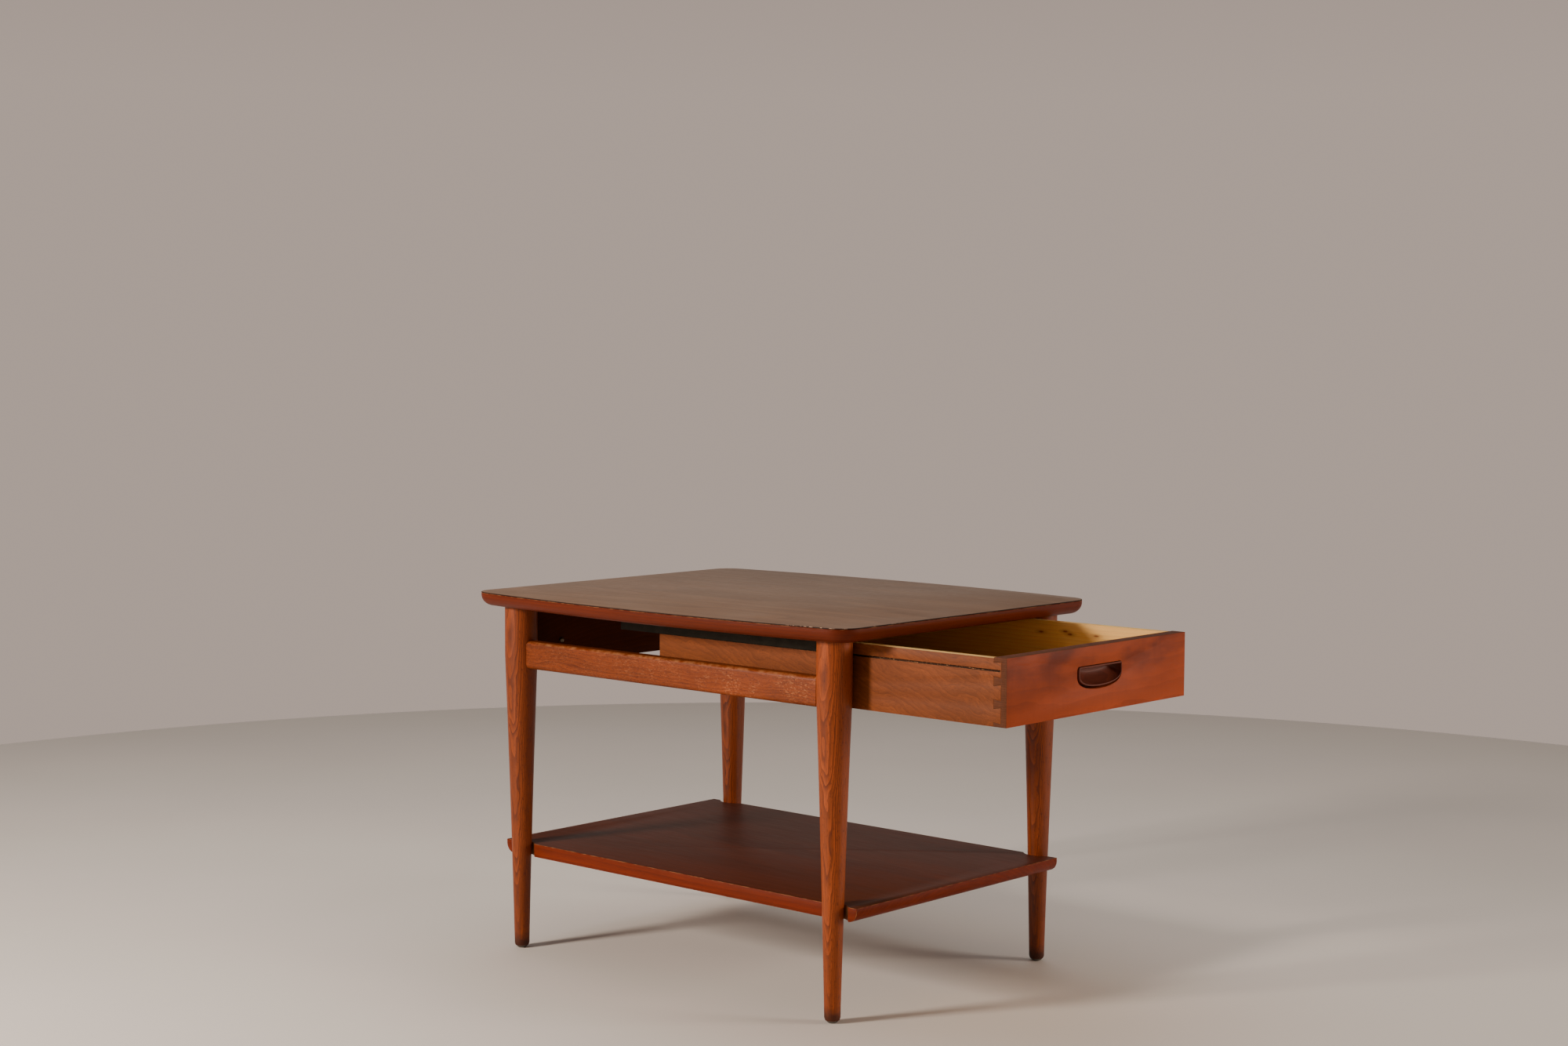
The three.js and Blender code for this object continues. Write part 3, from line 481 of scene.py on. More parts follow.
def wood_figure():
    """Growth rings, fibres, pores and clouding of a board whose grain runs along Z."""
    name = "Wood figure"
    if name in bpy.data.node_groups:
        return bpy.data.node_groups[name]
    tree = bpy.data.node_groups.new(name, "ShaderNodeTree")
    socket(tree, "Place", "NodeSocketVector")
    socket(tree, "Pith", "NodeSocketVector")
    socket(tree, "Ring width", "NodeSocketFloat", value=0.003)
    socket(tree, "Waver", "NodeSocketFloat", value=0.002)
    socket(tree, "Waver width", "NodeSocketFloat", value=0.03)
    socket(tree, "Waver length", "NodeSocketFloat", value=0.12)
    socket(tree, "Fibre width", "NodeSocketFloat", value=0.0011)
    socket(tree, "Fibre length", "NodeSocketFloat", value=0.03)
    for out in ("Rings", "Early", "Fibres", "Pores", "Clouds"):
        socket(tree, out, "NodeSocketFloat", "OUTPUT")
    given = add_node(tree, "NodeGroupInput").outputs

    def stretched(width, run, source, **more):
        across = add_node(tree, "ShaderNodeMath", (1.0, width), operation="DIVIDE")
        lengthways = add_node(tree, "ShaderNodeMath", (1.0, run), operation="DIVIDE")
        scale = add_node(tree, "ShaderNodeCombineXYZ", {"X": across, "Y": across, "Z": lengthways})
        scaled = add_node(tree, "ShaderNodeVectorMath", (source, scale), operation="MULTIPLY")
        values = {"Vector": scaled, "Scale": 1.0, **more}
        return add_node(tree, "ShaderNodeTexNoise", values)

    sway = stretched(given["Waver width"], given["Waver length"], given["Place"], Detail=2.0)
    centred = add_node(
        tree, "ShaderNodeVectorMath", (sway.outputs["Color"], (0.5, 0.5, 0.5)), operation="SUBTRACT"
    )
    moved = add_node(tree, "ShaderNodeVectorMath", {0: centred, "Scale": given["Waver"]}, operation="SCALE")
    bent = add_node(tree, "ShaderNodeVectorMath", (given["Place"], moved), operation="ADD")
    from_pith = add_node(tree, "ShaderNodeVectorMath", (bent, given["Pith"]), operation="SUBTRACT")
    flat = add_node(tree, "ShaderNodeVectorMath", (from_pith, (1, 1, 0)), operation="MULTIPLY")
    reach = add_node(tree, "ShaderNodeVectorMath", (flat,), operation="LENGTH").outputs["Value"]
    phase = add_node(tree, "ShaderNodeMath", (reach, given["Ring width"]), operation="DIVIDE")
    season = add_node(tree, "ShaderNodeMath", (phase,), operation="FRACT")
    # Early wood darkens slowly into the late wood, then starts again at a hard line.
    late = add_node(tree, "ShaderNodeMath", (season, 3.0), operation="POWER")
    ending = add_node(tree, "ShaderNodeMath", (season, 24.0), operation="POWER")
    fading = add_node(tree, "ShaderNodeMath", (1.0, ending), operation="SUBTRACT")
    line = add_node(tree, "ShaderNodeMath", (late, fading), operation="MULTIPLY")
    year = add_node(tree, "ShaderNodeMath", (phase,), operation="FLOOR")
    spread = add_node(tree, "ShaderNodeMath", (year, 0.73), operation="MULTIPLY")
    years = add_node(tree, "ShaderNodeTexNoise", {"W": spread, "Scale": 1.0}, noise_dimensions="1D")
    good_years = add_node(
        tree, "ShaderNodeMapRange", {"Value": years, "From Min": 0.35, "From Max": 0.65, "To Min": 0.35}
    )
    rings = add_node(tree, "ShaderNodeMath", (line, good_years), operation="MULTIPLY", use_clamp=True)
    opening = add_node(tree, "ShaderNodeMath", (1.0, season), operation="SUBTRACT")
    young = add_node(tree, "ShaderNodeMath", (opening, 2.0), operation="POWER")
    early = add_node(tree, "ShaderNodeMath", (young, good_years), operation="MULTIPLY", use_clamp=True)
    fibres = stretched(given["Fibre width"], given["Fibre length"], bent, Detail=3.0)
    short = add_node(tree, "ShaderNodeMath", (given["Fibre length"], 0.22), operation="MULTIPLY")
    pored = stretched(given["Fibre width"], short, given["Place"], Detail=1.0)
    pores = add_node(tree, "ShaderNodeMapRange", {"Value": pored, "From Min": 0.62, "From Max": 0.72})
    clouds = stretched(given["Waver width"], given["Waver length"], given["Place"], Detail=3.0)
    add_node(
        tree,
        "NodeGroupOutput",
        {"Rings": rings, "Early": early, "Fibres": fibres, "Pores": pores, "Clouds": clouds},
    )
    return tree


def start_material(name):
    """A new material and its empty node tree."""
    made = bpy.data.materials.new(name)
    made.use_nodes = True
    made.node_tree.nodes.clear()
    return made, made.node_tree


def board_place(tree, along):
    """Object coordinates turned so that the grain, along X, Y or Z, lies along Z."""
    place = add_node(tree, "ShaderNodeTexCoord").outputs["Object"]
    turns = {"X": (0, -math.pi / 2, 0), "Y": (math.pi / 2, 0, 0), "Z": (0, 0, 0)}
    return add_node(tree, "ShaderNodeMapping", {"Vector": place, "Rotation": turns[along]})


def toned(base, factor):
    """A linear colour made darker or lighter."""
    return tuple(min(c * factor, 1.0) for c in base)


def wood_finish(
    name,
    base,
    figure,
    place=None,
    along="Y",
    pith=(0.0, 0.09, 0.0),
    ring=3.0,
    waver=(6.0, 40.0, 160.0),
    fibre=(1.1, 34.0),
    rings_show=0.6,
    early_show=0.2,
    fibres_show=0.5,
    pores_show=0.4,
    clouds_show=0.5,
    cloud_tint=None,
    roughness=0.42,
    coat=0.25,
    gloss=0.4,
    bump=0.09,
    worn=None,
    wear=0.0,
    extra=None,
):
    """A stained or bare board. Sizes are in millimetres; the *_show values are strengths."""
    if name in bpy.data.materials:
        return bpy.data.materials[name]
    made, tree = start_material(name)
    source = place(tree) if place else board_place(tree, along)
    figured = {
        "Place": source,
        "Pith": pith,
        "Ring width": ring * MM,
        "Waver": waver[0] * MM,
        "Waver width": waver[1] * MM,
        "Waver length": waver[2] * MM,
        "Fibre width": fibre[0] * MM,
        "Fibre length": fibre[1] * MM,
    }
    grain = add_node(tree, "ShaderNodeGroup", figured, node_tree=wood_figure())
    rings, early, fibres, pores, clouds = grain.outputs
    cloud = add_node(tree, "ShaderNodeMapRange", {"Value": clouds, "From Min": 0.36, "From Max": 0.64})
    tint = cloud_tint or toned(base, 0.62)
    streak = add_node(tree, "ShaderNodeMapRange", {"Value": fibres, "From Min": 0.3, "From Max": 0.7})
    shade = add_node(
        tree,
        "ShaderNodeMix",
        {"Factor": streak, "A": (0.55, 0.55, 0.55), "B": (1.0, 1.0, 1.0)},
        data_type="RGBA",
    )
    tone = base
    for mask, strength, over, mode in (
        (cloud, clouds_show, tint, "MIX"),
        (early, early_show, toned(base, 2.0), "MIX"),
        (1.0, fibres_show, shade, "MULTIPLY"),
        (rings, rings_show, figure, "MIX"),
        (pores, pores_show, figure, "MIX"),
    ):
        share = add_node(tree, "ShaderNodeMath", (mask, strength), operation="MULTIPLY")
        tone = add_node(
            tree,
            "ShaderNodeMix",
            {"Factor": share, "A": tone, "B": over},
            data_type="RGBA",
            blend_type=mode,
        )
    rough = add_node(tree, "ShaderNodeMath", (streak, 0.1, roughness - 0.05), operation="MULTIPLY_ADD")
    if extra:
        tone, rough = extra(tree, tone, rough)
    if worn:
        mark = add_node(tree, "ShaderNodeAttribute", attribute_name="arris").outputs["Fac"]
        spot = add_node(tree, "ShaderNodeTexCoord").outputs["Object"]
        patchy = add_node(tree, "ShaderNodeTexNoise", {"Vector": spot, "Scale": 90.0, "Detail": 4.0})
        rubbed = add_node(tree, "ShaderNodeMapRange", {"Value": patchy, "From Min": 0.42, "From Max": 0.62})
        exposed = add_node(tree, "ShaderNodeMath", (mark, rubbed), operation="MULTIPLY")
        share = add_node(tree, "ShaderNodeMath", (exposed, wear), operation="MULTIPLY")
        tone = add_node(tree, "ShaderNodeMix", {"Factor": share, "A": tone, "B": worn}, data_type="RGBA")
        rough = add_node(tree, "ShaderNodeMath", (share, 0.2, rough), operation="MULTIPLY_ADD")
    grooves = add_node(tree, "ShaderNodeMath", (pores, -0.8, fibres), operation="MULTIPLY_ADD")
    height = add_node(tree, "ShaderNodeMath", (rings, 0.4, grooves), operation="MULTIPLY_ADD")
    relief = add_node(tree, "ShaderNodeBump", {"Height": height, "Distance": bump * MM, "Strength": 1.0})
    shader = add_node(
        tree,
        "ShaderNodeBsdfPrincipled",
        {
            "Base Color": tone,
            "Roughness": rough,
            "Normal": relief,
            "Coat Weight": coat,
            "Coat Roughness": 0.3,
            "Specular IOR Level": gloss,
            "IOR": 1.5,
        },
    )
    add_node(tree, "ShaderNodeOutputMaterial", {"Surface": shader})
    return made


def leg_stock(tree):
    """Coordinates of a leg's own blank, moved so that no two legs are cut from the same spot."""
    own = add_node(tree, "ShaderNodeAttribute", attribute_name="stock").outputs["Vector"]
    shift = add_node(tree, "ShaderNodeAttribute", attribute_name="stock_shift").outputs["Vector"]
    rising = add_node(tree, "ShaderNodeVectorMath", (shift, (0, 0, 1)), operation="MULTIPLY")
    return add_node(tree, "ShaderNodeVectorMath", (own, rising), operation="ADD")


def edge_run(tree):
    """Coordinates that follow the top's edge, so that the grain runs round it."""
    run = add_node(tree, "ShaderNodeUVMap", uv_map="Run")
    parts = add_node(tree, "ShaderNodeSeparateXYZ", {"Vector": run})
    return add_node(tree, "ShaderNodeCombineXYZ", {"X": parts.outputs["Y"], "Z": parts.outputs["X"]})


def leg_and_foot_darkening(tree, tone, rough):
    """Each leg is darkened by its own amount, and its last centimetres are darker towards the foot."""
    own = add_node(tree, "ShaderNodeAttribute", attribute_name="stock").outputs["Vector"]
    height = add_node(tree, "ShaderNodeSeparateXYZ", {"Vector": own}).outputs["Z"]
    patchy = add_node(tree, "ShaderNodeTexNoise", {"Vector": own, "Scale": 120.0, "Detail": 4.0})
    edge = add_node(tree, "ShaderNodeMath", (patchy, 0.016, height), operation="MULTIPLY_ADD")
    darkening = add_node(tree, "ShaderNodeAttribute", attribute_name="leg_darkening").outputs["Fac"]
    tone = add_node(
        tree,
        "ShaderNodeMix",
        {"Factor": darkening, "A": tone, "B": linear("#8a8078")},
        data_type="RGBA",
        blend_type="MULTIPLY",
    )
    # The last centimetres of each leg are made darker towards the foot.
    foot_darkening = add_node(
        tree,
        "ShaderNodeMapRange",
        {"Value": edge, "From Min": 0.018, "From Max": 0.032, "To Min": 0.75, "To Max": 0.0},
    )
    tone = add_node(
        tree, "ShaderNodeMix", {"Factor": foot_darkening, "A": tone, "B": linear("#1f0f08")}, data_type="RGBA"
    )
    return tone, add_node(tree, "ShaderNodeMath", (foot_darkening, 0.2, rough), operation="MULTIPLY_ADD")


def slanted_place(tree):
    """Object coordinates for a board sawn a little across its grain, so that its figure slopes."""
    place = add_node(tree, "ShaderNodeTexCoord").outputs["Object"]
    turn = (math.pi / 2 - 0.3, 0.0, 0.0)
    return add_node(tree, "ShaderNodeMapping", {"Vector": place, "Rotation": turn})


def leg_wood(paint):
    # Open-grained hardwood, turned and stained orange brown under satin lacquer: nested
    # dark growth lines climb the taper in long points, with short dark pores between.
    return wood_finish(
        "stained hardwood, turned",
        tuple(paint.leg_stain),
        tuple(paint.leg_figure),
        place=leg_stock,
        pith=(0.084, 0.012, 0.0),
        ring=1.4,
        waver=(8.0, 26.0, 90.0),
        fibre=(0.9, 26.0),
        rings_show=0.9,
        early_show=0.5,
        fibres_show=0.75,
        gloss=0.25,
        pores_show=0.7,
        clouds_show=0.5,
        roughness=0.42,
        coat=0.05,
        bump=0.12,
        extra=leg_and_foot_darkening,
    )


def rubbed_flecks_and_rear_shade(tree, tone, rough):
    """A rail is painted darker towards the rear as painted shade, and rubbed to fine pale flecks towards the
    front.
    """
    low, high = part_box("side_rail_left")
    place = add_node(tree, "ShaderNodeTexCoord").outputs["Object"]
    parts = add_node(tree, "ShaderNodeSeparateXYZ", {"Vector": place}).outputs
    forward = add_node(
        tree,
        "ShaderNodeMapRange",
        {"Value": parts["Y"], "From Min": high.y, "From Max": low.y, "To Min": 0.1, "To Max": 1.0},
    )
    drawn = add_node(tree, "ShaderNodeMapping", {"Vector": place, "Scale": (700.0, 260.0, 700.0)})
    fleck = add_node(tree, "ShaderNodeTexNoise", {"Vector": drawn, "Scale": 1.0, "Detail": 3.0})
    broad = add_node(tree, "ShaderNodeTexNoise", {"Vector": place, "Scale": 26.0, "Detail": 3.0})
    small = add_node(tree, "ShaderNodeMapRange", {"Value": fleck, "From Min": 0.52, "From Max": 0.66})
    gathered = add_node(tree, "ShaderNodeMapRange", {"Value": broad, "From Min": 0.42, "From Max": 0.6})
    share = add_node(tree, "ShaderNodeMath", (small, gathered), operation="MULTIPLY")
    share = add_node(tree, "ShaderNodeMath", (share, forward), operation="MULTIPLY")
    share = add_node(tree, "ShaderNodeMath", (share, 0.4), operation="MULTIPLY")
    # Painted shade: the rail is multiplied darker towards its rear end.
    rear_painted_shade = add_node(
        tree,
        "ShaderNodeMapRange",
        {"Value": parts["Y"], "From Min": low.y, "From Max": high.y, "To Min": 0.05, "To Max": 0.45},
    )
    tone = add_node(
        tree,
        "ShaderNodeMix",
        {"Factor": rear_painted_shade, "A": tone, "B": linear("#8a8078")},
        data_type="RGBA",
        blend_type="MULTIPLY",
    )
    tone = add_node(
        tree, "ShaderNodeMix", {"Factor": share, "A": tone, "B": linear("#d98f5c")}, data_type="RGBA"
    )
    return tone, rough


def rail_wood(paint):
    # Close-grained hardwood with the same stain: small dark flecks, a cloudy tone, pale
    # rubbed edges and pale flecks, with painted shade darkening it towards the rear.
    return wood_finish(
        "stained hardwood, planed",
        toned(paint.leg_stain, 0.92),
        tuple(paint.leg_figure),
        along="Y",
        pith=(0.05, 0.14, 0.0),
        ring=5.0,
        waver=(18.0, 22.0, 90.0),
        fibre=(1.1, 10.0),
        rings_show=0.5,
        fibres_show=0.7,
        pores_show=0.8,
        clouds_show=0.7,
        gloss=0.2,
        roughness=0.46,
        coat=0.0,
        worn=tuple(paint.worn_wood),
        wear=paint.wear * 0.4,
        extra=rubbed_flecks_and_rear_shade,
    )


def apron_wood(paint):
    # The rails' wood with its grain from leg to leg.
    return wood_finish(
        "stained hardwood, apron",
        toned(paint.leg_stain, 0.8),
        tuple(paint.leg_figure),
        along="X",
        pith=(0.05, 0.14, 0.0),
        ring=7.0,
        waver=(24.0, 34.0, 120.0),
        rings_show=0.45,
        early_show=0.2,
        clouds_show=0.6,
        gloss=0.2,
        coat=0.0,
        worn=tuple(paint.worn_wood),
        wear=paint.wear * 0.3,
    )


def edge_wood(paint):
    # Solid edge under the laminate, stained orange brown, its grain running round the top.
    return wood_finish(
        "stained edge banding, solid",
        tuple(paint.edge_stain),
        tuple(paint.leg_figure),
        place=edge_run,
        pith=(0.2, 0.0, 0.0),
        ring=5.0,
        waver=(6.0, 14.0, 190.0),
        fibre=(1.2, 60.0),
        rings_show=0.35,
        fibres_show=0.45,
        pores_show=0.3,
        clouds_show=0.45,
        roughness=0.46,
        gloss=0.14,
        coat=0.0,
        worn=tuple(paint.worn_wood),
        wear=paint.wear * 0.7,
    )


def inside_face_painted_shade_wood(paint):
    # Faces that look inwards or down, darkened as painted shade and left dull.
    return wood_finish(
        "inside face in painted shade, dull",
        toned(paint.leg_stain, 0.2),
        tuple(paint.leg_figure),
        ring=7.0,
        waver=(10.0, 60.0, 300.0),
        roughness=0.7,
        gloss=0.08,
        coat=0.0,
    )


def shelf_wood(paint):
    # Fine veneer stained almost black brown, satin: faint long streaks, cloudy.
    return wood_finish(
        "dark stained veneer",
        tuple(paint.shelf_stain),
        toned(paint.shelf_stain, 0.35),
        along="Y",
        pith=(0.0, 0.3, 0.0),
        ring=7.0,
        waver=(16.0, 46.0, 330.0),
        fibre=(1.3, 70.0),
        rings_show=0.12,
        fibres_show=0.4,
        pores_show=0.2,
        clouds_show=0.55,
        cloud_tint=toned(paint.shelf_stain, 0.6),
        roughness=0.5,
        coat=0.0,
        gloss=0.22,
        bump=0.05,
    )


def shelf_edge_wood(paint):
    # The shelf's solid edges, redder than its veneer, with pale knocks along the arris.
    return wood_finish(
        "red stained shelf edge",
        tuple(paint.shelf_edge_stain),
        toned(paint.leg_figure, 0.9),
        along="Y",
        ring=6.0,
        waver=(8.0, 24.0, 180.0),
        rings_show=0.3,
        fibres_show=0.45,
        roughness=0.46,
        gloss=0.12,
        coat=0.0,
        worn=tuple(paint.worn_wood),
        wear=paint.wear * 0.6,
    )


def notch_wood(paint):
    # Sawn notch walls beside the legs: stain rubbed down to pinkish wood.
    return wood_finish(
        "rubbed end of shelf",
        toned(paint.worn_wood, 0.62),
        tuple(paint.leg_figure),
        along="X",
        ring=3.0,
        waver=(5.0, 8.0, 20.0),
        fibre=(1.0, 4.0),
        clouds_show=0.9,
        cloud_tint=toned(paint.shelf_edge_stain, 0.9),
        roughness=0.6,
        coat=0.0,
    )


def wiped_clouds(tree, tone, rough):
    """Darker patches where the wiping stain soaked in, mostly in the front's upper half."""
    low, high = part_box("drawer_front")
    place = add_node(tree, "ShaderNodeTexCoord").outputs["Object"]
    height = add_node(tree, "ShaderNodeSeparateXYZ", {"Vector": place}).outputs["Z"]
    upper = add_node(
        tree,
        "ShaderNodeMapRange",
        {
            "Value": height,
            "From Min": low.z + 0.015,
            "From Max": high.z - 0.01,
            "To Min": 0.15,
            "To Max": 1.0,
        },
    )
    swept = add_node(tree, "ShaderNodeMapping", {"Vector": place, "Scale": (12.0, 12.0, 26.0)})
    soaked = add_node(tree, "ShaderNodeTexNoise", {"Vector": swept, "Scale": 1.0, "Detail": 5.0})
    patches = add_node(tree, "ShaderNodeMapRange", {"Value": soaked, "From Min": 0.42, "From Max": 0.66})
    share = add_node(tree, "ShaderNodeMath", (patches, upper), operation="MULTIPLY")
    strokes = add_node(tree, "ShaderNodeMapping", {"Vector": place, "Scale": (150.0, 60.0, 22.0)})
    brushed = add_node(tree, "ShaderNodeTexNoise", {"Vector": strokes, "Scale": 1.0})
    bristles = add_node(tree, "ShaderNodeMapRange", {"Value": brushed, "From Min": 0.55, "From Max": 0.8})
    share = add_node(tree, "ShaderNodeMath", (bristles, 0.14, share), operation="MULTIPLY_ADD")
    share = add_node(tree, "ShaderNodeMath", (share, 0.8), operation="MULTIPLY", use_clamp=True)
    tone = add_node(
        tree, "ShaderNodeMix", {"Factor": share, "A": tone, "B": linear("#561f0e")}, data_type="RGBA"
    )
    return tone, rough


def front_wood(paint):
    # Blotchy wood under a thick red wiping stain: cloudy darker patches and faint
    # streaks across, satin.
    return wood_finish(
        "red stained drawer front",
        tuple(paint.front_stain),
        toned(paint.front_stain, 0.42),
        along="X",
        pith=(0.1, 0.12, 0.0),
        ring=12.0,
        waver=(22.0, 26.0, 90.0),
        fibre=(1.6, 48.0),
        rings_show=0.14,
        fibres_show=0.22,
        pores_show=0.12,
        clouds_show=0.5,
        cloud_tint=toned(paint.front_stain, 0.66),
        roughness=0.56,
        gloss=0.15,
        coat=0.0,
        bump=0.04,
        worn=tuple(paint.worn_wood),
        wear=paint.wear * 0.2,
        extra=wiped_clouds,
    )


def end_grain():
    # Sawn ends and top edge of the drawer front: grey brown, matt, dirt in the pores.
    return wood_finish(
        "grimy end grain",
        linear("#6a3d27"),
        linear("#371e12"),
        along="Y",
        ring=2.6,
        waver=(3.0, 14.0, 14.0),
        fibre=(0.8, 2.0),
        rings_show=0.4,
        fibres_show=0.6,
        roughness=0.62,
        gloss=0.12,
        coat=0.0,
    )


def drawer_side_wood(paint):
    # Flat-sawn board with a thin brown wipe outside: broad arched grain, a little pale
    # wood showing where it was handled.
    return wood_finish(
        "brown wiped drawer side",
        tuple(paint.side_stain),
        toned(paint.side_stain, 0.34),
        place=slanted_place,
        pith=(-0.155, -0.66, 0.0),
        ring=8.0,
        waver=(46.0, 38.0, 80.0),
        fibre=(1.1, 18.0),
        rings_show=0.42,
        early_show=0.15,
        fibres_show=0.75,
        pores_show=0.6,
        clouds_show=0.6,
        gloss=0.2,
        roughness=0.56,
        coat=0.0,
        bump=0.1,
        worn=tuple(paint.worn_wood),
        wear=paint.wear,
    )


def knot_marks(tree, tone, rough):
    """Pin knots near the top of the drawer's sides, each a dark oval in a tan ring."""
    low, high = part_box("drawer_side_right")
    place = add_node(tree, "ShaderNodeTexCoord").outputs["Object"]
    from_front = (0.126, 0.170, 0.178, 0.219)
    from_top = (0.015, 0.016, 0.0125, 0.016)
    for along, down in zip(from_front, from_top):
        spot = (high.x, low.y + along, high.z - down)
        offset = add_node(tree, "ShaderNodeVectorMath", (place, spot), operation="SUBTRACT")
        oval = add_node(tree, "ShaderNodeVectorMath", (offset, (0.0, 0.62, 1.8)), operation="MULTIPLY")
        reach = add_node(tree, "ShaderNodeVectorMath", (oval,), operation="LENGTH")
        ring = add_node(
            tree,
            "ShaderNodeMapRange",
            {
                "Value": reach.outputs["Value"],
                "From Min": 0.003,
                "From Max": 0.008,
                "To Min": 0.5,
                "To Max": 0.0,
            },
        )
        heart = add_node(
            tree,
            "ShaderNodeMapRange",
            {
                "Value": reach.outputs["Value"],
                "From Min": 0.0014,
                "From Max": 0.0032,
                "To Min": 0.85,
                "To Max": 0.0,
            },
        )
        tone = add_node(
            tree, "ShaderNodeMix", {"Factor": ring, "A": tone, "B": linear("#b27a3c")}, data_type="RGBA"
        )
        tone = add_node(
            tree, "ShaderNodeMix", {"Factor": heart, "A": tone, "B": linear("#8a3f16")}, data_type="RGBA"
        )
    return tone, rough


def bare_wood(paint, along="Y", knots=False):
    # Unfinished softwood: pale yellow, soft wide rings, matt.
    return wood_finish(
        "bare pine" + (" with pin knots" if knots else f" along {along}"),
        tuple(paint.bare_wood),
        toned(paint.bare_wood, 0.5),
        along=along,
        pith=(0.11, 0.16, 0.0),
        ring=6.0,
        waver=(18.0, 36.0, 200.0),
        fibre=(1.0, 40.0),
        rings_show=0.3,
        fibres_show=0.22,
        pores_show=0.15,
        clouds_show=0.25,
        cloud_tint=toned(paint.bare_wood, 0.8),
        roughness=0.68,
        coat=0.0,
        bump=0.05,
        extra=knot_marks if knots else None,
    )


def torn_groove_in_painted_shade(paint):
    # Floor and lips of the runner groove: painted dark as shade in the groove, with raised pale splinters.
    return wood_finish(
        "torn groove",
        linear("#3c1c0c"),
        toned(paint.worn_wood, 1.3),
        along="Y",
        ring=1.5,
        waver=(4.0, 3.0, 9.0),
        fibre=(1.1, 16.0),
        rings_show=0.12,
        fibres_show=0.6,
        pores_show=0.95,
        clouds_show=0.3,
        roughness=0.8,
        coat=0.0,
        bump=0.4,
    )


def pull_wood(paint):
    # Walnut scoop stained very dark and polished by fingers: tight grain, soft gloss.
    return wood_finish(
        "dark polished walnut",
        tuple(paint.scoop_wood),
        toned(paint.scoop_wood, 0.3),
        along="X",
        pith=(0.03, 0.05, 0.0),
        ring=2.4,
        waver=(3.0, 12.0, 60.0),
        rings_show=0.35,
        fibres_show=0.4,
        pores_show=0.3,
        roughness=0.5,
        gloss=0.2,
        coat=0.05,
        bump=0.03,
        worn=linear("#8f4a30"),
        wear=0.12,
    )


def laminate_print(paint):
    # Satin melamine laminate printed with walnut: long faint streaks, a soft grey haze
    # of fine scuffs and slightly uneven gloss.
    def scuffed(tree, tone, rough):
        place = add_node(tree, "ShaderNodeTexCoord").outputs["Object"]
        haze = add_node(tree, "ShaderNodeTexNoise", {"Vector": place, "Scale": 9.0, "Detail": 6.0})
        rubbed = add_node(tree, "ShaderNodeMapRange", {"Value": haze, "From Min": 0.4, "From Max": 0.68})
        veil = add_node(tree, "ShaderNodeMath", (rubbed, 0.16), operation="MULTIPLY")
        tone = add_node(
            tree, "ShaderNodeMix", {"Factor": veil, "A": tone, "B": linear("#9a8a7c")}, data_type="RGBA"
        )
        fine = add_node(tree, "ShaderNodeTexNoise", {"Vector": place, "Scale": 120.0, "Detail": 4.0})
        rough = add_node(tree, "ShaderNodeMath", (fine, 0.12, rough), operation="MULTIPLY_ADD")
        rough = add_node(tree, "ShaderNodeMath", (rubbed, 0.07, rough), operation="MULTIPLY_ADD")
        return tone, rough

    return wood_finish(
        "satin wood-print laminate",
        tuple(paint.laminate),
        toned(paint.laminate, 0.42),
        along="Y",
        pith=(0.0, 0.6, 0.0),
        ring=11.0,
        waver=(40.0, 60.0, 420.0),
        fibre=(1.8, 120.0),
        rings_show=0.32,
        fibres_show=0.3,
        pores_show=0.22,
        clouds_show=0.45,
        cloud_tint=toned(paint.laminate, 0.72),
        roughness=0.33,
        coat=0.0,
        bump=0.015,
        extra=scuffed,
    )


def laminate_edge():
    # Dark paper core seen at the laminate's edge, chipped to bright specks at the arris.
    made, tree = start_material("laminate core edge")
    place = add_node(tree, "ShaderNodeTexCoord").outputs["Object"]
    chips = add_node(tree, "ShaderNodeTexNoise", {"Vector": place, "Scale": 140.0, "Detail": 3.0})
    mark = add_node(tree, "ShaderNodeAttribute", attribute_name="arris").outputs["Fac"]
    # Chips gather towards the corner that stands out beside the drawer.
    corner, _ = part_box("top_laminate")
    reach = add_node(
        tree, "ShaderNodeVectorMath", (place, tuple(corner)), operation="DISTANCE"
    ).outputs["Value"]
    near = add_node(
        tree,
        "ShaderNodeMapRange",
        {"Value": reach, "From Min": 0.03, "From Max": 0.16, "To Min": 1.0, "To Max": 0.03},
    )
    chipped = add_node(tree, "ShaderNodeMapRange", {"Value": chips, "From Min": 0.56, "From Max": 0.62})
    gathered = add_node(tree, "ShaderNodeMath", (chipped, near), operation="MULTIPLY")
    share = add_node(tree, "ShaderNodeMath", (gathered, mark), operation="MULTIPLY")
    tone = add_node(
        tree,
        "ShaderNodeMix",
        {"Factor": share, "A": linear("#2a1710"), "B": linear("#c9a68c")},
        data_type="RGBA",
    )
    rough = add_node(
        tree,
        "ShaderNodeMapRange",
        {"Value": chips, "From Min": 0.3, "From Max": 0.7, "To Min": 0.55, "To Max": 0.8},
    )
    shader = add_node(
        tree,
        "ShaderNodeBsdfPrincipled",
        {"Base Color": tone, "Roughness": rough, "Specular IOR Level": 0.15},
    )
    add_node(tree, "ShaderNodeOutputMaterial", {"Surface": shader})
    return made


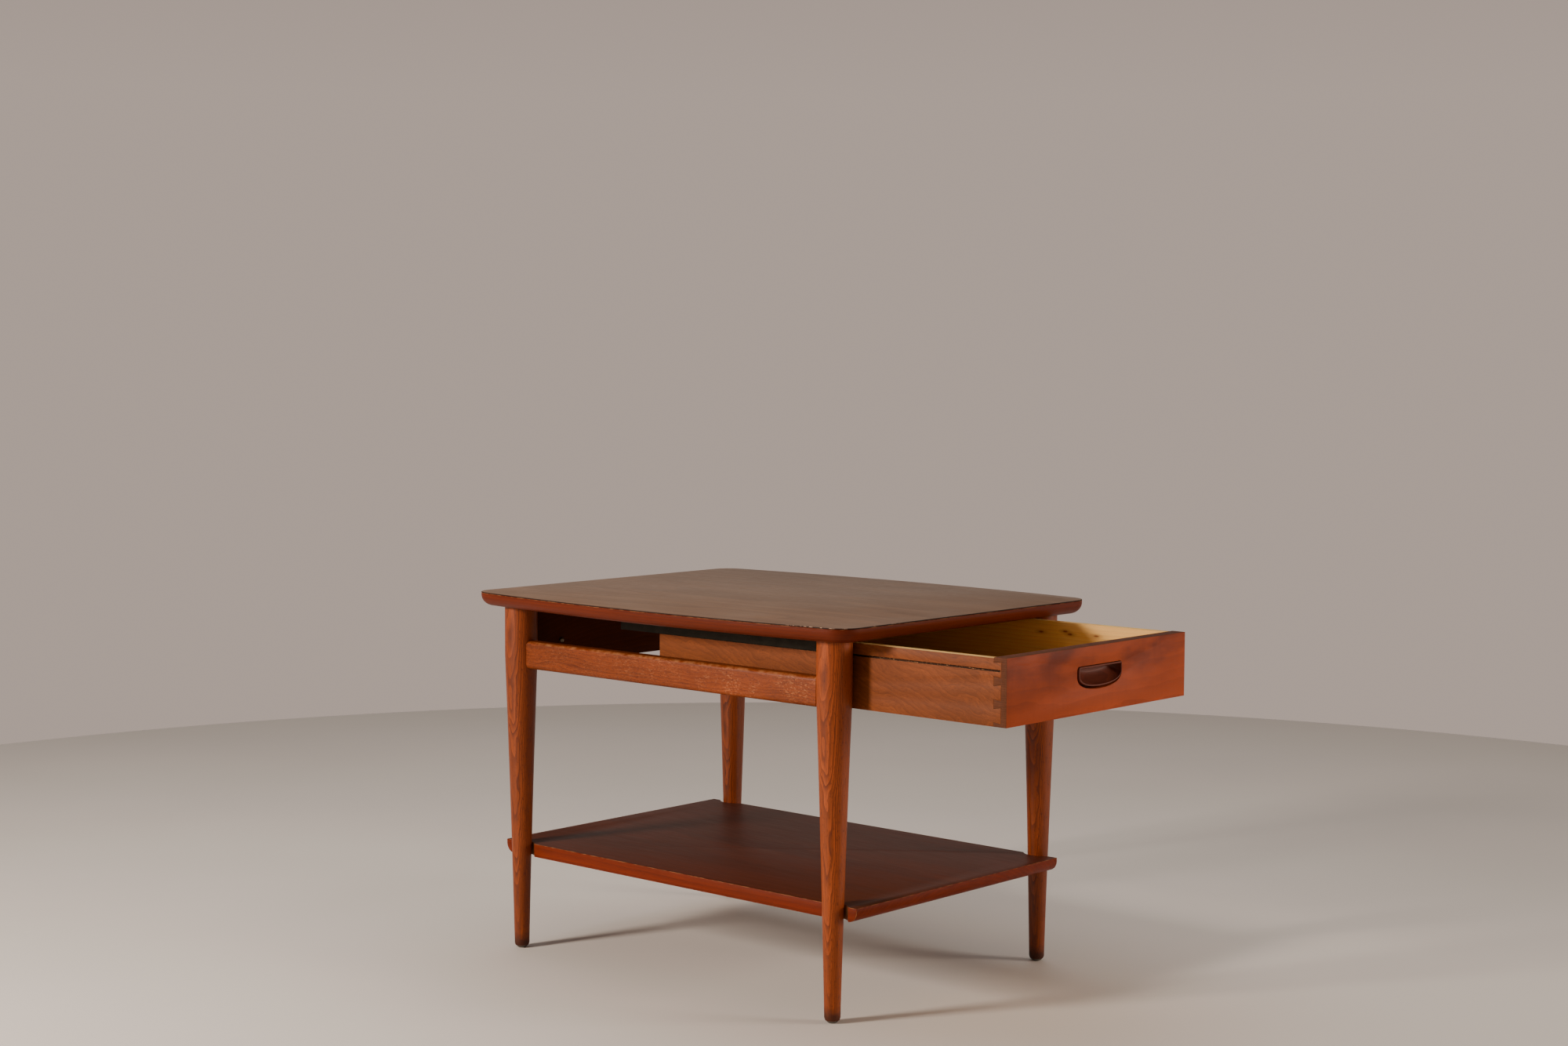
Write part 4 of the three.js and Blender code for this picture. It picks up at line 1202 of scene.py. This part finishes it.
def steel_finish(name, base, roughness, spots):
    """Plated or bare steel with cloudy dulling and rust-brown or dark spots."""
    made, tree = start_material(name)
    place = add_node(tree, "ShaderNodeTexCoord").outputs["Object"]
    dull = add_node(tree, "ShaderNodeTexNoise", {"Vector": place, "Scale": 60.0, "Detail": 5.0})
    fine = add_node(tree, "ShaderNodeTexNoise", {"Vector": place, "Scale": 700.0, "Detail": 2.0})
    clouds = add_node(tree, "ShaderNodeMapRange", {"Value": dull, "From Min": 0.35, "From Max": 0.65})
    tone = add_node(
        tree, "ShaderNodeMix", {"Factor": clouds, "A": base, "B": toned(base, 0.86)}, data_type="RGBA"
    )
    pitted = add_node(tree, "ShaderNodeMapRange", {"Value": fine, "From Min": 0.62, "From Max": 0.72})
    pits = add_node(tree, "ShaderNodeMath", (pitted, 0.7), operation="MULTIPLY")
    tone = add_node(tree, "ShaderNodeMix", {"Factor": pits, "A": tone, "B": spots}, data_type="RGBA")
    rough = add_node(tree, "ShaderNodeMath", (clouds, 0.06, roughness), operation="MULTIPLY_ADD")
    relief = add_node(tree, "ShaderNodeBump", {"Height": fine, "Distance": 0.02 * MM, "Strength": 1.0})
    shader = add_node(
        tree,
        "ShaderNodeBsdfPrincipled",
        {"Base Color": tone, "Roughness": rough, "Metallic": 1.0, "Normal": relief},
    )
    add_node(tree, "ShaderNodeOutputMaterial", {"Surface": shader})
    return made


# ---- Operators ----


class BuildPiece(bpy.types.Operator):
    """What every operator here shares."""

    bl_options = {"REGISTER", "UNDO"}

    def sizes(self, context):
        return context.scene.side_table_sizes, context.scene.side_table_finishes


def top_outline(half_width, half_depth, centre_y, bow, corner):
    """Plan of the top as points with outward normals: bowed long edges, straight short ones."""
    radius = (half_depth**2 + bow**2) / (2 * bow)
    bow_x = half_width - radius
    corner_y = half_depth - corner
    reach = math.sqrt((radius - corner) ** 2 - corner_y**2)
    corner_x = bow_x + reach
    angle = math.atan2(corner_y, reach)
    quarter = math.pi / 2
    arcs = (
        (bow_x, 0.0, radius, -angle, angle, BOW_STEPS),
        (corner_x, corner_y, corner, angle, quarter, CORNER_STEPS),
        (-corner_x, corner_y, corner, quarter, math.pi - angle, CORNER_STEPS),
        (-bow_x, 0.0, radius, math.pi - angle, math.pi + angle, BOW_STEPS),
        (-corner_x, -corner_y, corner, math.pi + angle, 3 * quarter, CORNER_STEPS),
        (corner_x, -corner_y, corner, -quarter, -angle, CORNER_STEPS),
    )
    points = []
    for x, y, r, start, stop, steps in arcs:
        for i in range(steps):
            turn = start + (stop - start) * i / steps
            normal = Vector((math.cos(turn), math.sin(turn), 0.0))
            points.append((Vector((x, y + centre_y, 0.0)) + normal * r, normal))
        end = Vector((math.cos(stop), math.sin(stop), 0.0))
        if abs(end.y) > 0.999999:
            points.append((Vector((x, y + centre_y, 0.0)) + end * r, end))
    return points


class SIDETABLE_OT_tabletop(BuildPiece):
    """Build the board with its under-rounded edge, and the laminate on it"""

    bl_idname = "sidetable.tabletop"
    bl_label = "Tabletop"

    def execute(self, context):
        size, paint = self.sizes(context)
        low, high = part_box("top_board")
        half_width, half_depth = (high.x - low.x) / 2, (high.y - low.y) / 2
        centre_y = (high.y + low.y) / 2
        plan = top_outline(half_width, half_depth, centre_y, size.edge_bow, size.corner_radius)

        def ring(inset, z):
            return [p - n * inset + Vector((0, 0, z)) for p, n in plan]

        inset, rise = size.under_round_inset, size.under_round_height
        rings = []
        for i in range(ROUND_STEPS + 1):
            turn = math.pi / 2 * i / ROUND_STEPS
            rings.append(ring(inset * (1 - math.sin(turn)), low.z + rise * (1 - math.cos(turn))))
        arris = 0.5 * MM
        rings.append(ring(0.0, high.z - arris))
        rings.append(ring(arris, high.z))
        # The board's flat underside takes the dark inside finish, which is painted shade.
        finishes = [edge_wood(paint), inside_face_painted_shade_wood(paint)]
        piece(
            "tabletop_board",
            loft(rings, arris=(ROUND_STEPS + 1,)),
            finishes,
            "table",
            ["top_board"],
            choose=lambda normal, at: 1 if normal.z < -0.999 else 0,
        )

        low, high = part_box("top_laminate")
        arris = 0.6 * MM
        rings = [
            ring(0.0, low.z),
            ring(0.0, high.z - arris),
            ring(arris * 0.35, high.z - arris * 0.3),
            ring(arris, high.z),
        ]
        piece(
            "tabletop_laminate",
            loft(rings, arris=(1, 2)),
            [laminate_print(paint), laminate_edge()],
            "table",
            ["top_laminate"],
            choose=lambda normal, at: 0 if abs(normal.z) > 0.999 else 1,
        )
        return {"FINISHED"}


class SIDETABLE_OT_legs(BuildPiece):
    """Turn the four legs, and put the glides and the shelf dowels in"""

    bl_idname = "sidetable.legs"
    bl_label = "Legs"

    def execute(self, context):
        size, paint = self.sizes(context)
        low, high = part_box("leg_front_left")
        glide_low, glide_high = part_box("glide_front_left")
        apron_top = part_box("rear_apron")[1].z
        drawer_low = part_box("drawer_front")[0].z
        axes = [middle(f"leg_{corner}") for corner in CORNERS]
        points = [(axis.x, axis.y, 0.0) for axis in axes]
        glide_radius = (glide_high.x - glide_low.x) / 2
        values = {
            "Foot height": low.z,
            "Leg height": apron_top,
            "Taper start": drawer_low + size.taper_rise,
            "Foot radius": glide_radius + size.foot_margin,
            "Top radius": (high.x - low.x) / 2,
            "Hollow": size.leg_hollow,
            "Foot round": size.foot_round,
            "Facets": size.turned_facets,
            "Finish": leg_wood(paint),
        }
        # The front left leg is darkened least, the rear ones the most.
        made = grown(turned_leg_tree(), points, values, leg_darkenings=(0.0, 0.4, 0.35, 0.5))
        leg_nodes = [f"leg_{corner}" for corner in CORNERS]
        piece("legs", made, [values["Finish"]], "table", leg_nodes)

        metal = steel_finish("tarnished nickel glide", linear("#6f6a62"), 0.34, linear("#2b1c12"))
        values = {
            "Length": low.z + 2 * MM,
            "Head radius": glide_radius,
            "Head height": low.z - CLEARANCE,
            "Shank radius": size.glide_shank,
            "Slot width": 0.0,
            "Finish": metal,
        }
        made = grown(small_metal_tree(), points, values)
        glide_nodes = [f"glide_{corner}" for corner in CORNERS]
        piece("glides", made, [metal], "table", glide_nodes)

        dowel = bare_wood(paint, along="X")
        for corner in CORNERS:
            node = f"shelf_dowel_{corner}"
            piece(f"dowel_{corner}", softened(node, 0.4 * MM), [dowel], "table", [node])
        return {"FINISHED"}


def rail_section(half_width, half_height, radius, inset):
    """Rounded rectangle in X and Z about the origin, drawn in by inset."""
    points = []
    steps = 8
    corner = max(radius - inset, 0.2 * MM)
    for start, x, z in ((-90, 1, -1), (0, 1, 1), (90, -1, 1), (180, -1, -1)):
        centre = Vector((x * (half_width - inset - corner), 0, z * (half_height - inset - corner)))
        for i in range(steps + 1):
            turn = math.radians(start + 90 * i / steps)
            points.append(centre + Vector((math.cos(turn), 0, math.sin(turn))) * corner)
    return points


class SIDETABLE_OT_rails(BuildPiece):
    """Build the two side rails, coped to the legs, and the rear apron"""

    bl_idname = "sidetable.rails"
    bl_label = "Rails and apron"

    def execute(self, context):
        size, paint = self.sizes(context)
        wood = rail_wood(paint)
        leg_low, leg_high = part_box("leg_front_left")
        leg_radius = (leg_high.x - leg_low.x) / 2 + CLEARANCE
        for hand in HANDS:
            node = f"side_rail_{hand}"
            low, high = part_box(node)
            centre = (low + high) / 2
            half = (high - low) / 2
            reach = middle(f"leg_rear_{hand}").y - centre.y
            end_radius = size.rail_end_radius

            def ring(side, back, inset):
                points = rail_section(half.x, half.z, size.rail_radius, inset)
                for p in points:
                    p.y = side * (reach - math.sqrt(leg_radius**2 - p.x**2) - back)
                return [p + centre for p in points]

            rings = []
            steps = 5
            for side in (-1, 1):
                turns = range(steps + 1) if side < 0 else range(steps, -1, -1)
                for i in turns:
                    back = end_radius * i / steps
                    inset = end_radius - math.sqrt(end_radius**2 - (end_radius - back) ** 2)
                    rings.append(ring(side, back, inset))
            mesh = loft(rings)
            worn = mesh.loops.layers.float["arris"]
            for face in mesh.faces:
                corner = abs(face.normal.x) > 0.3 and face.normal.z > 0.3
                for loop in face.loops:
                    loop[worn] = 1.0 if corner else 0.0
            # Faces that look into the table take the dark inside finish, which is painted shade.
            inward = math.copysign(1.0, -centre.x)
            piece(
                f"rail_{hand}",
                mesh,
                [wood, inside_face_painted_shade_wood(paint)],
                "table",
                [node],
                choose=lambda normal, at, inward=inward: 1 if normal.x * inward > 0.7 else 0,
                sharp=50.0,
            )
        # The apron's face towards the drawer takes the dark inside finish, which is painted shade.
        piece(
            "apron",
            softened("rear_apron", size.board_arris),
            [apron_wood(paint), inside_face_painted_shade_wood(paint)],
            "table",
            ["rear_apron"],
            choose=lambda normal, at: 1 if normal.y < -0.7 else 0,
        )
        return {"FINISHED"}


class SIDETABLE_OT_shelf(BuildPiece):
    """Build the shelf with its notches round the legs"""

    bl_idname = "sidetable.shelf"
    bl_label = "Shelf"

    def execute(self, context):
        size, paint = self.sizes(context)
        low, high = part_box("shelf_board")

        def choose(normal, at):
            if abs(normal.z) > 0.98:
                return 0
            inside = min(at.x - low.x, high.x - at.x) > 0.6 * MM
            lengthways = min(at.y - low.y, high.y - at.y) > 15 * MM
            return 2 if inside and lengthways else 1

        finishes = [shelf_wood(paint), shelf_edge_wood(paint), notch_wood(paint)]
        mesh = softened("shelf_board", size.board_arris)
        piece("shelf", mesh, finishes, "table", ["shelf_board"], choose=choose)
        return {"FINISHED"}


class SIDETABLE_OT_runners(BuildPiece):
    """Build the hanging steel runners and the stop cleat"""

    bl_idname = "sidetable.runners"
    bl_label = "Runners and stop"

    def execute(self, context):
        _, paint = self.sizes(context)
        steel = steel_finish("dull zinc sheet", tuple(paint.dull_steel), 0.52, linear("#4b3a2c"))
        for hand in HANDS:
            node = f"runner_{hand}"
            piece(f"hanging_{node}", softened(node, 0.25 * MM), [steel], "table", [node])
        cleat = softened("stop_cleat", 0.6 * MM)
        piece("cleat", cleat, [bare_wood(paint, along="X")], "table", ["stop_cleat"])
        return {"FINISHED"}


class SIDETABLE_OT_drawer(BuildPiece):
    """Build the drawer's front, dovetailed sides, back and bottom"""

    bl_idname = "sidetable.drawer"
    bl_label = "Drawer box"

    def execute(self, context):
        size, paint = self.sizes(context)
        face, sawn, bare = front_wood(paint), end_grain(), bare_wood(paint, along="X")
        low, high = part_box("drawer_front")

        def front_face(normal, at):
            if normal.y < -0.6:
                return 0
            if normal.y > 0.6:
                return 2
            edge = min(at.x - low.x, high.x - at.x, high.z - at.z) < 1.5 * MM
            return 1 if edge else 0

        piece(
            "front",
            softened("drawer_front", size.board_arris),
            [face, sawn, bare],
            "drawer",
            ["drawer_front"],
            choose=front_face,
        )
        outside, groove_shade_finish, inside = drawer_side_wood(paint), torn_groove_in_painted_shade(paint), bare_wood(paint, knots=True)
        for hand, out in zip(HANDS, (-1, 1)):
            node = f"drawer_side_{hand}"
            low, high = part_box(node)
            skin = high.x if out > 0 else low.x

            def side_face(normal, at, out=out, skin=skin, top=high.z, bottom=low.z):
                # Finish 1 darkens the runner groove's floor and lips as painted shade.
                if normal.x * out > 0.6:
                    return 0 if abs(at.x - skin) < 0.8 * MM else 1
                if normal.x * out < -0.3 or at.z > top - 0.5 * MM:
                    return 2
                in_groove = abs(normal.z) > 0.6 and bottom + 20 * MM < at.z < top - 5 * MM
                return 1 if in_groove else 0

            piece(
                node.replace("drawer_", ""),
                softened(node, size.board_arris * 0.7),
                [outside, groove_shade_finish, inside],
                "drawer",
                [node],
                choose=side_face,
            )
        for node in ("drawer_back", "drawer_bottom"):
            made = softened(node, size.board_arris * 0.7)
            piece(node.replace("drawer_", ""), made, [bare], "drawer", [node])
        return {"FINISHED"}


def pull_outline(size, half_width, low, high, inset):
    """The pull's D-shaped outline in X and Z, drawn in by inset: level above, rounded below."""
    half = half_width - inset
    bottom, top = low + inset, high - inset
    shoulder = bottom + size.pull_shoulder - inset
    corner = max(size.pull_corner - inset, 1.0 * MM)
    turn_z = bottom + (shoulder - bottom) * 0.4

    def curve(t):
        """The lower right quarter, as one Bezier from the middle of the bottom to the shoulder."""
        a, b, c, d = (1 - t) ** 3, 3 * (1 - t) ** 2 * t, 3 * (1 - t) * t**2, t**3
        x = b * half * 0.66 + c * half + d * half
        z = a * bottom + b * bottom + c * turn_z + d * shoulder
        return x, z

    right = [curve(i / CURVE_STEPS) for i in range(1, CURVE_STEPS)]
    side_steps, corner_steps, top_steps = 6, 9, 12
    for i in range(side_steps):
        right.append((half, shoulder + (top - corner - shoulder) * i / side_steps))
    for i in range(corner_steps + 1):
        turn = math.pi / 2 * i / corner_steps
        right.append((half - corner + corner * math.cos(turn), top - corner + corner * math.sin(turn)))
    for i in range(1, top_steps):
        right.append(((half - corner) * (1 - i / top_steps), top))
    left = [(-x, z) for x, z in reversed(right)]
    return [(0.0, bottom), *right, (0.0, top), *left]


class SIDETABLE_OT_pull(BuildPiece):
    """Carve the scooped pull that stands in the drawer front"""

    bl_idname = "sidetable.pull"
    bl_label = "Pull"

    def execute(self, context):
        size, paint = self.sizes(context)
        low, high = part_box("drawer_pull")
        front_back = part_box("drawer_front")[1].y
        margin, plate_back = size.pull_flange, high.y
        half_width = (high.x - low.x) / 2 - margin
        lower, upper = low.z + margin / 2, high.z - margin / 2
        front_y, plate_front = low.y, front_back + CLEARANCE
        groove, rim = size.pull_groove, size.pull_rim

        def ring(inset, y, rise=0.0, drop=0.0, narrow=0.0):
            """One outline; its lower side is lifted by rise and its upper side lowered by drop."""
            points = []
            for x, z in pull_outline(size, half_width, lower, upper, inset):
                low_share = smooth((upper - inset - z) / (upper - lower - 2 * inset))
                z += rise * low_share - drop * (1 - low_share)
                x *= 1 - narrow / (half_width - inset)
                # It sits hard against the upper right of its opening, so the gap is widest at the left,
                # and the lip widens the same way.
                aside = size.pull_shift + size.pull_rim_bias * (inset - groove) / rim
                points.append(Vector((x + aside, y, z + size.pull_shift)))
            return points

        rings = [ring(groove, plate_front + 0.5 * MM), ring(groove, front_y + rim / 2)]
        steps = 10
        for i in range(1, steps + 1):
            turn = math.pi * i / steps
            inset = groove + rim / 2 * (1 - math.cos(turn))
            rings.append(ring(inset, front_y + rim / 2 * (1 - math.sin(turn))))
        inner = groove + rim
        bowl_steps = 20
        for i in range(1, bowl_steps + 1):
            turn = math.pi / 2 * i / bowl_steps
            y = front_y + rim / 2 + size.scoop_depth * math.sin(turn)
            swept = 1 - math.cos(turn)
            ramp = 0.6 * math.sin(turn) + 0.4 * swept
            rings.append(ring(inner, y, size.scoop_rise * ramp, 1 * MM * swept, size.scoop_lean * swept))
        mesh = loft(rings, arris=range(2, 9))

        centre = (low + high) / 2
        plate = []
        for y, inset in ((plate_front, 0.0), (plate_back - 1 * MM, 0.0), (plate_back, 1 * MM)):
            outline = rail_section((high.x - low.x) / 2, (high.z - low.z) / 2, margin / 2, inset)
            plate.append([p + Vector((centre.x, y, centre.z)) for p in outline])
        mesh = loft(plate, mesh=mesh)
        piece(
            "scoop_pull",
            mesh,
            [pull_wood(paint)],
            "drawer",
            ["drawer_pull"],
            sharp=60.0,
        )
        return {"FINISHED"}


class SIDETABLE_OT_fixings(BuildPiece):
    """Drive the slotted screws of the runners, cleat, closing stops and pull"""

    bl_idname = "sidetable.fixings"
    bl_label = "Screws"

    def execute(self, context):
        size, _ = self.sizes(context)
        tree = small_metal_tree()
        steel = steel_finish("worn zinc screw", linear("#7d7566"), 0.42, linear("#3d2b1b"))
        groups = (
            ("runner_screws", "runner_screw_", Vector((0, 0, 1)), "table"),
            ("cleat_screws", "cleat_screw_", Vector((0, 0, 1)), "table"),
            ("closing_stops", "closing_stop_", Vector((0, 1, 0)), "table"),
            ("pull_screws", "pull_screw_", Vector((0, -1, 0)), "drawer"),
        )
        for name, prefix, way, body in groups:
            nodes = sorted(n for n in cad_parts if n.startswith(prefix))
            low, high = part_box(nodes[0])
            run = abs((high - low).dot(way))
            points = [tuple(middle(n) - way * run / 2) for n in nodes]
            values = {
                "Direction": tuple(way),
                "Length": run,
                "Slot width": size.screw_slot,
                "Finish": steel,
            }
            piece(name, grown(tree, points, values), [steel], body, nodes)
        return {"FINISHED"}


# Where the lamps point.
TABLE_MIDDLE = Vector((0.0, 0.0, 0.3))

# Name, place, width, height (metres), power (watts) and colour.
LAMPS = (
    ("key", (-2.78, 1.12, 1.35), 0.5, 0.5, 104, "#fff0e2"),
    ("front fill", (1.7, -2.8, 1.05), 1.0, 0.8, 52, "#fff0e2"),
    ("overhead", (0.4, 0.6, 2.9), 2.2, 2.2, 26, "#ffffff"),
)


def soft_light(name, place, width, height, power, code):
    """An area lamp turned to the table, which lights it without being seen itself."""
    lamp = bpy.data.lights.new(name, "AREA")
    lamp.shape = "RECTANGLE"
    lamp.size, lamp.size_y = width, height
    lamp.energy = power
    lamp.color = linear(code)
    holder = bpy.data.objects.new(name, lamp)
    holder.location = place
    holder.visible_camera = False
    holder.rotation_euler = (TABLE_MIDDLE - Vector(place)).to_track_quat("-Z", "Y").to_euler()
    bpy.context.scene.collection.objects.link(holder)


def floor_paint():
    # Matt floor paint: pale warm grey, with the faintest clouding.
    made, tree = start_material("pale studio floor")
    place = add_node(tree, "ShaderNodeTexCoord").outputs["Object"]
    cloud = add_node(tree, "ShaderNodeTexNoise", {"Vector": place, "Scale": 1.3, "Detail": 3.0})
    share = add_node(tree, "ShaderNodeMapRange", {"Value": cloud, "From Min": 0.3, "From Max": 0.7})
    tints = {"Factor": share, "A": linear("#e6dfd7"), "B": linear("#ece5dd")}
    tone = add_node(tree, "ShaderNodeMix", tints, data_type="RGBA")
    shader = add_node(tree, "ShaderNodeBsdfPrincipled", {"Base Color": tone, "Roughness": 0.6})
    add_node(tree, "ShaderNodeOutputMaterial", {"Surface": shader})
    return made


def round_floor(radius):
    """A flat disc at the feet."""
    floor = bpy.data.meshes.new("floor")
    turns = [math.tau * i / FLOOR_SIDES for i in range(FLOOR_SIDES)]
    rim = [(radius * math.cos(turn), radius * math.sin(turn), 0.0) for turn in turns]
    floor.from_pydata(rim, [], [tuple(range(FLOOR_SIDES))])
    floor.materials.append(floor_paint())
    laid = bpy.data.objects.new("floor", floor)
    bpy.context.scene.collection.objects.link(laid)


def studio_air():
    """Surroundings that go from a warm grey at the horizon to a darker one overhead."""
    world = bpy.data.worlds.new("studio")
    world.use_nodes = True
    tree = world.node_tree
    tree.nodes.clear()
    way = add_node(tree, "ShaderNodeTexCoord").outputs["Generated"]
    rise = add_node(tree, "ShaderNodeSeparateXYZ", {"Vector": way}).outputs["Z"]
    share = add_node(tree, "ShaderNodeMapRange", {"Value": rise, "From Min": 0.1, "From Max": 0.55})
    tints = {"Factor": share, "A": linear("#c3b1a6"), "B": linear("#554c46")}
    tone = add_node(tree, "ShaderNodeMix", tints, data_type="RGBA")
    sky = add_node(tree, "ShaderNodeBackground", {"Color": tone, "Strength": 0.88})
    add_node(tree, "ShaderNodeOutputWorld", {"Surface": sky})
    return world


class SIDETABLE_OT_stage(BuildPiece):
    """Lay a pale floor, hang soft studio lights and set up the camera"""

    bl_idname = "sidetable.stage"
    bl_label = "Stage"

    floor_radius: FloatProperty(
        name="Floor radius", description="Radius of the round floor", default=2.6, unit="LENGTH"
    )
    place: FloatVectorProperty(
        name="Camera place",
        description="Where the camera stands",
        default=(-2.6175, -2.2492, 0.8727),
        subtype="TRANSLATION",
    )
    azimuth: FloatProperty(
        name="Azimuth",
        description="Turn of the camera round the table",
        default=math.radians(-48.19),
        subtype="ANGLE",
    )
    elevation: FloatProperty(
        name="Elevation",
        description="How far the camera looks down",
        default=math.radians(4.06),
        subtype="ANGLE",
    )
    roll: FloatProperty(
        name="Roll",
        description="Tilt of the camera about its own axis",
        default=math.radians(0.28),
        subtype="ANGLE",
    )
    focal: FloatProperty(name="Focal length", description="In millimetres", default=56.77)

    def execute(self, context):
        scene = context.scene
        round_floor(self.floor_radius)
        scene.world = studio_air()
        for lamp in LAMPS:
            soft_light(*lamp)

        a, e = self.azimuth, self.elevation
        back = Vector((math.sin(a) * math.cos(e), -math.cos(a) * math.cos(e), math.sin(e)))
        right = Vector((math.cos(a), math.sin(a), 0.0))
        up = back.cross(right)
        rolled_right = right * math.cos(self.roll) + up * math.sin(self.roll)
        rolled_up = up * math.cos(self.roll) - right * math.sin(self.roll)
        camera = bpy.data.cameras.new("camera")
        camera.lens = self.focal
        camera.sensor_width = 36.0
        camera.clip_start = 0.05
        holder = bpy.data.objects.new("camera", camera)
        turn = Matrix((rolled_right, rolled_up, back)).transposed()
        holder.matrix_world = Matrix.Translation(self.place) @ turn.to_4x4()
        scene.collection.objects.link(holder)
        scene.camera = holder
        return {"FINISHED"}


OPERATORS = (
    SIDETABLE_OT_tabletop,
    SIDETABLE_OT_legs,
    SIDETABLE_OT_rails,
    SIDETABLE_OT_shelf,
    SIDETABLE_OT_runners,
    SIDETABLE_OT_drawer,
    SIDETABLE_OT_pull,
    SIDETABLE_OT_fixings,
    SIDETABLE_OT_stage,
)


class SIDETABLE_PT_panel(bpy.types.Panel):
    """Lists the builders in the sidebar"""

    bl_idname = "SIDETABLE_PT_panel"
    bl_label = "Side table"
    bl_space_type = "VIEW_3D"
    bl_region_type = "UI"
    bl_category = "Side Table"

    def draw(self, context):
        for operator in OPERATORS:
            self.layout.operator(operator.bl_idname)
        for name in TableSizes.__annotations__:
            self.layout.prop(context.scene.side_table_sizes, name)
        for name in TableFinishes.__annotations__:
            self.layout.prop(context.scene.side_table_finishes, name)


CLASSES = (TableSizes, TableFinishes, *OPERATORS, SIDETABLE_PT_panel)


def register():
    for item in CLASSES:
        bpy.utils.register_class(item)
    bpy.types.Scene.side_table_sizes = PointerProperty(type=TableSizes)
    bpy.types.Scene.side_table_finishes = PointerProperty(type=TableFinishes)


def unregister():
    del bpy.types.Scene.side_table_finishes
    del bpy.types.Scene.side_table_sizes
    for item in reversed(CLASSES):
        bpy.utils.unregister_class(item)


def main():
    register()
    for operator in OPERATORS:
        family, action = operator.bl_idname.split(".")
        getattr(getattr(bpy.ops, family), action)()


if __name__ == "__main__":
    main()
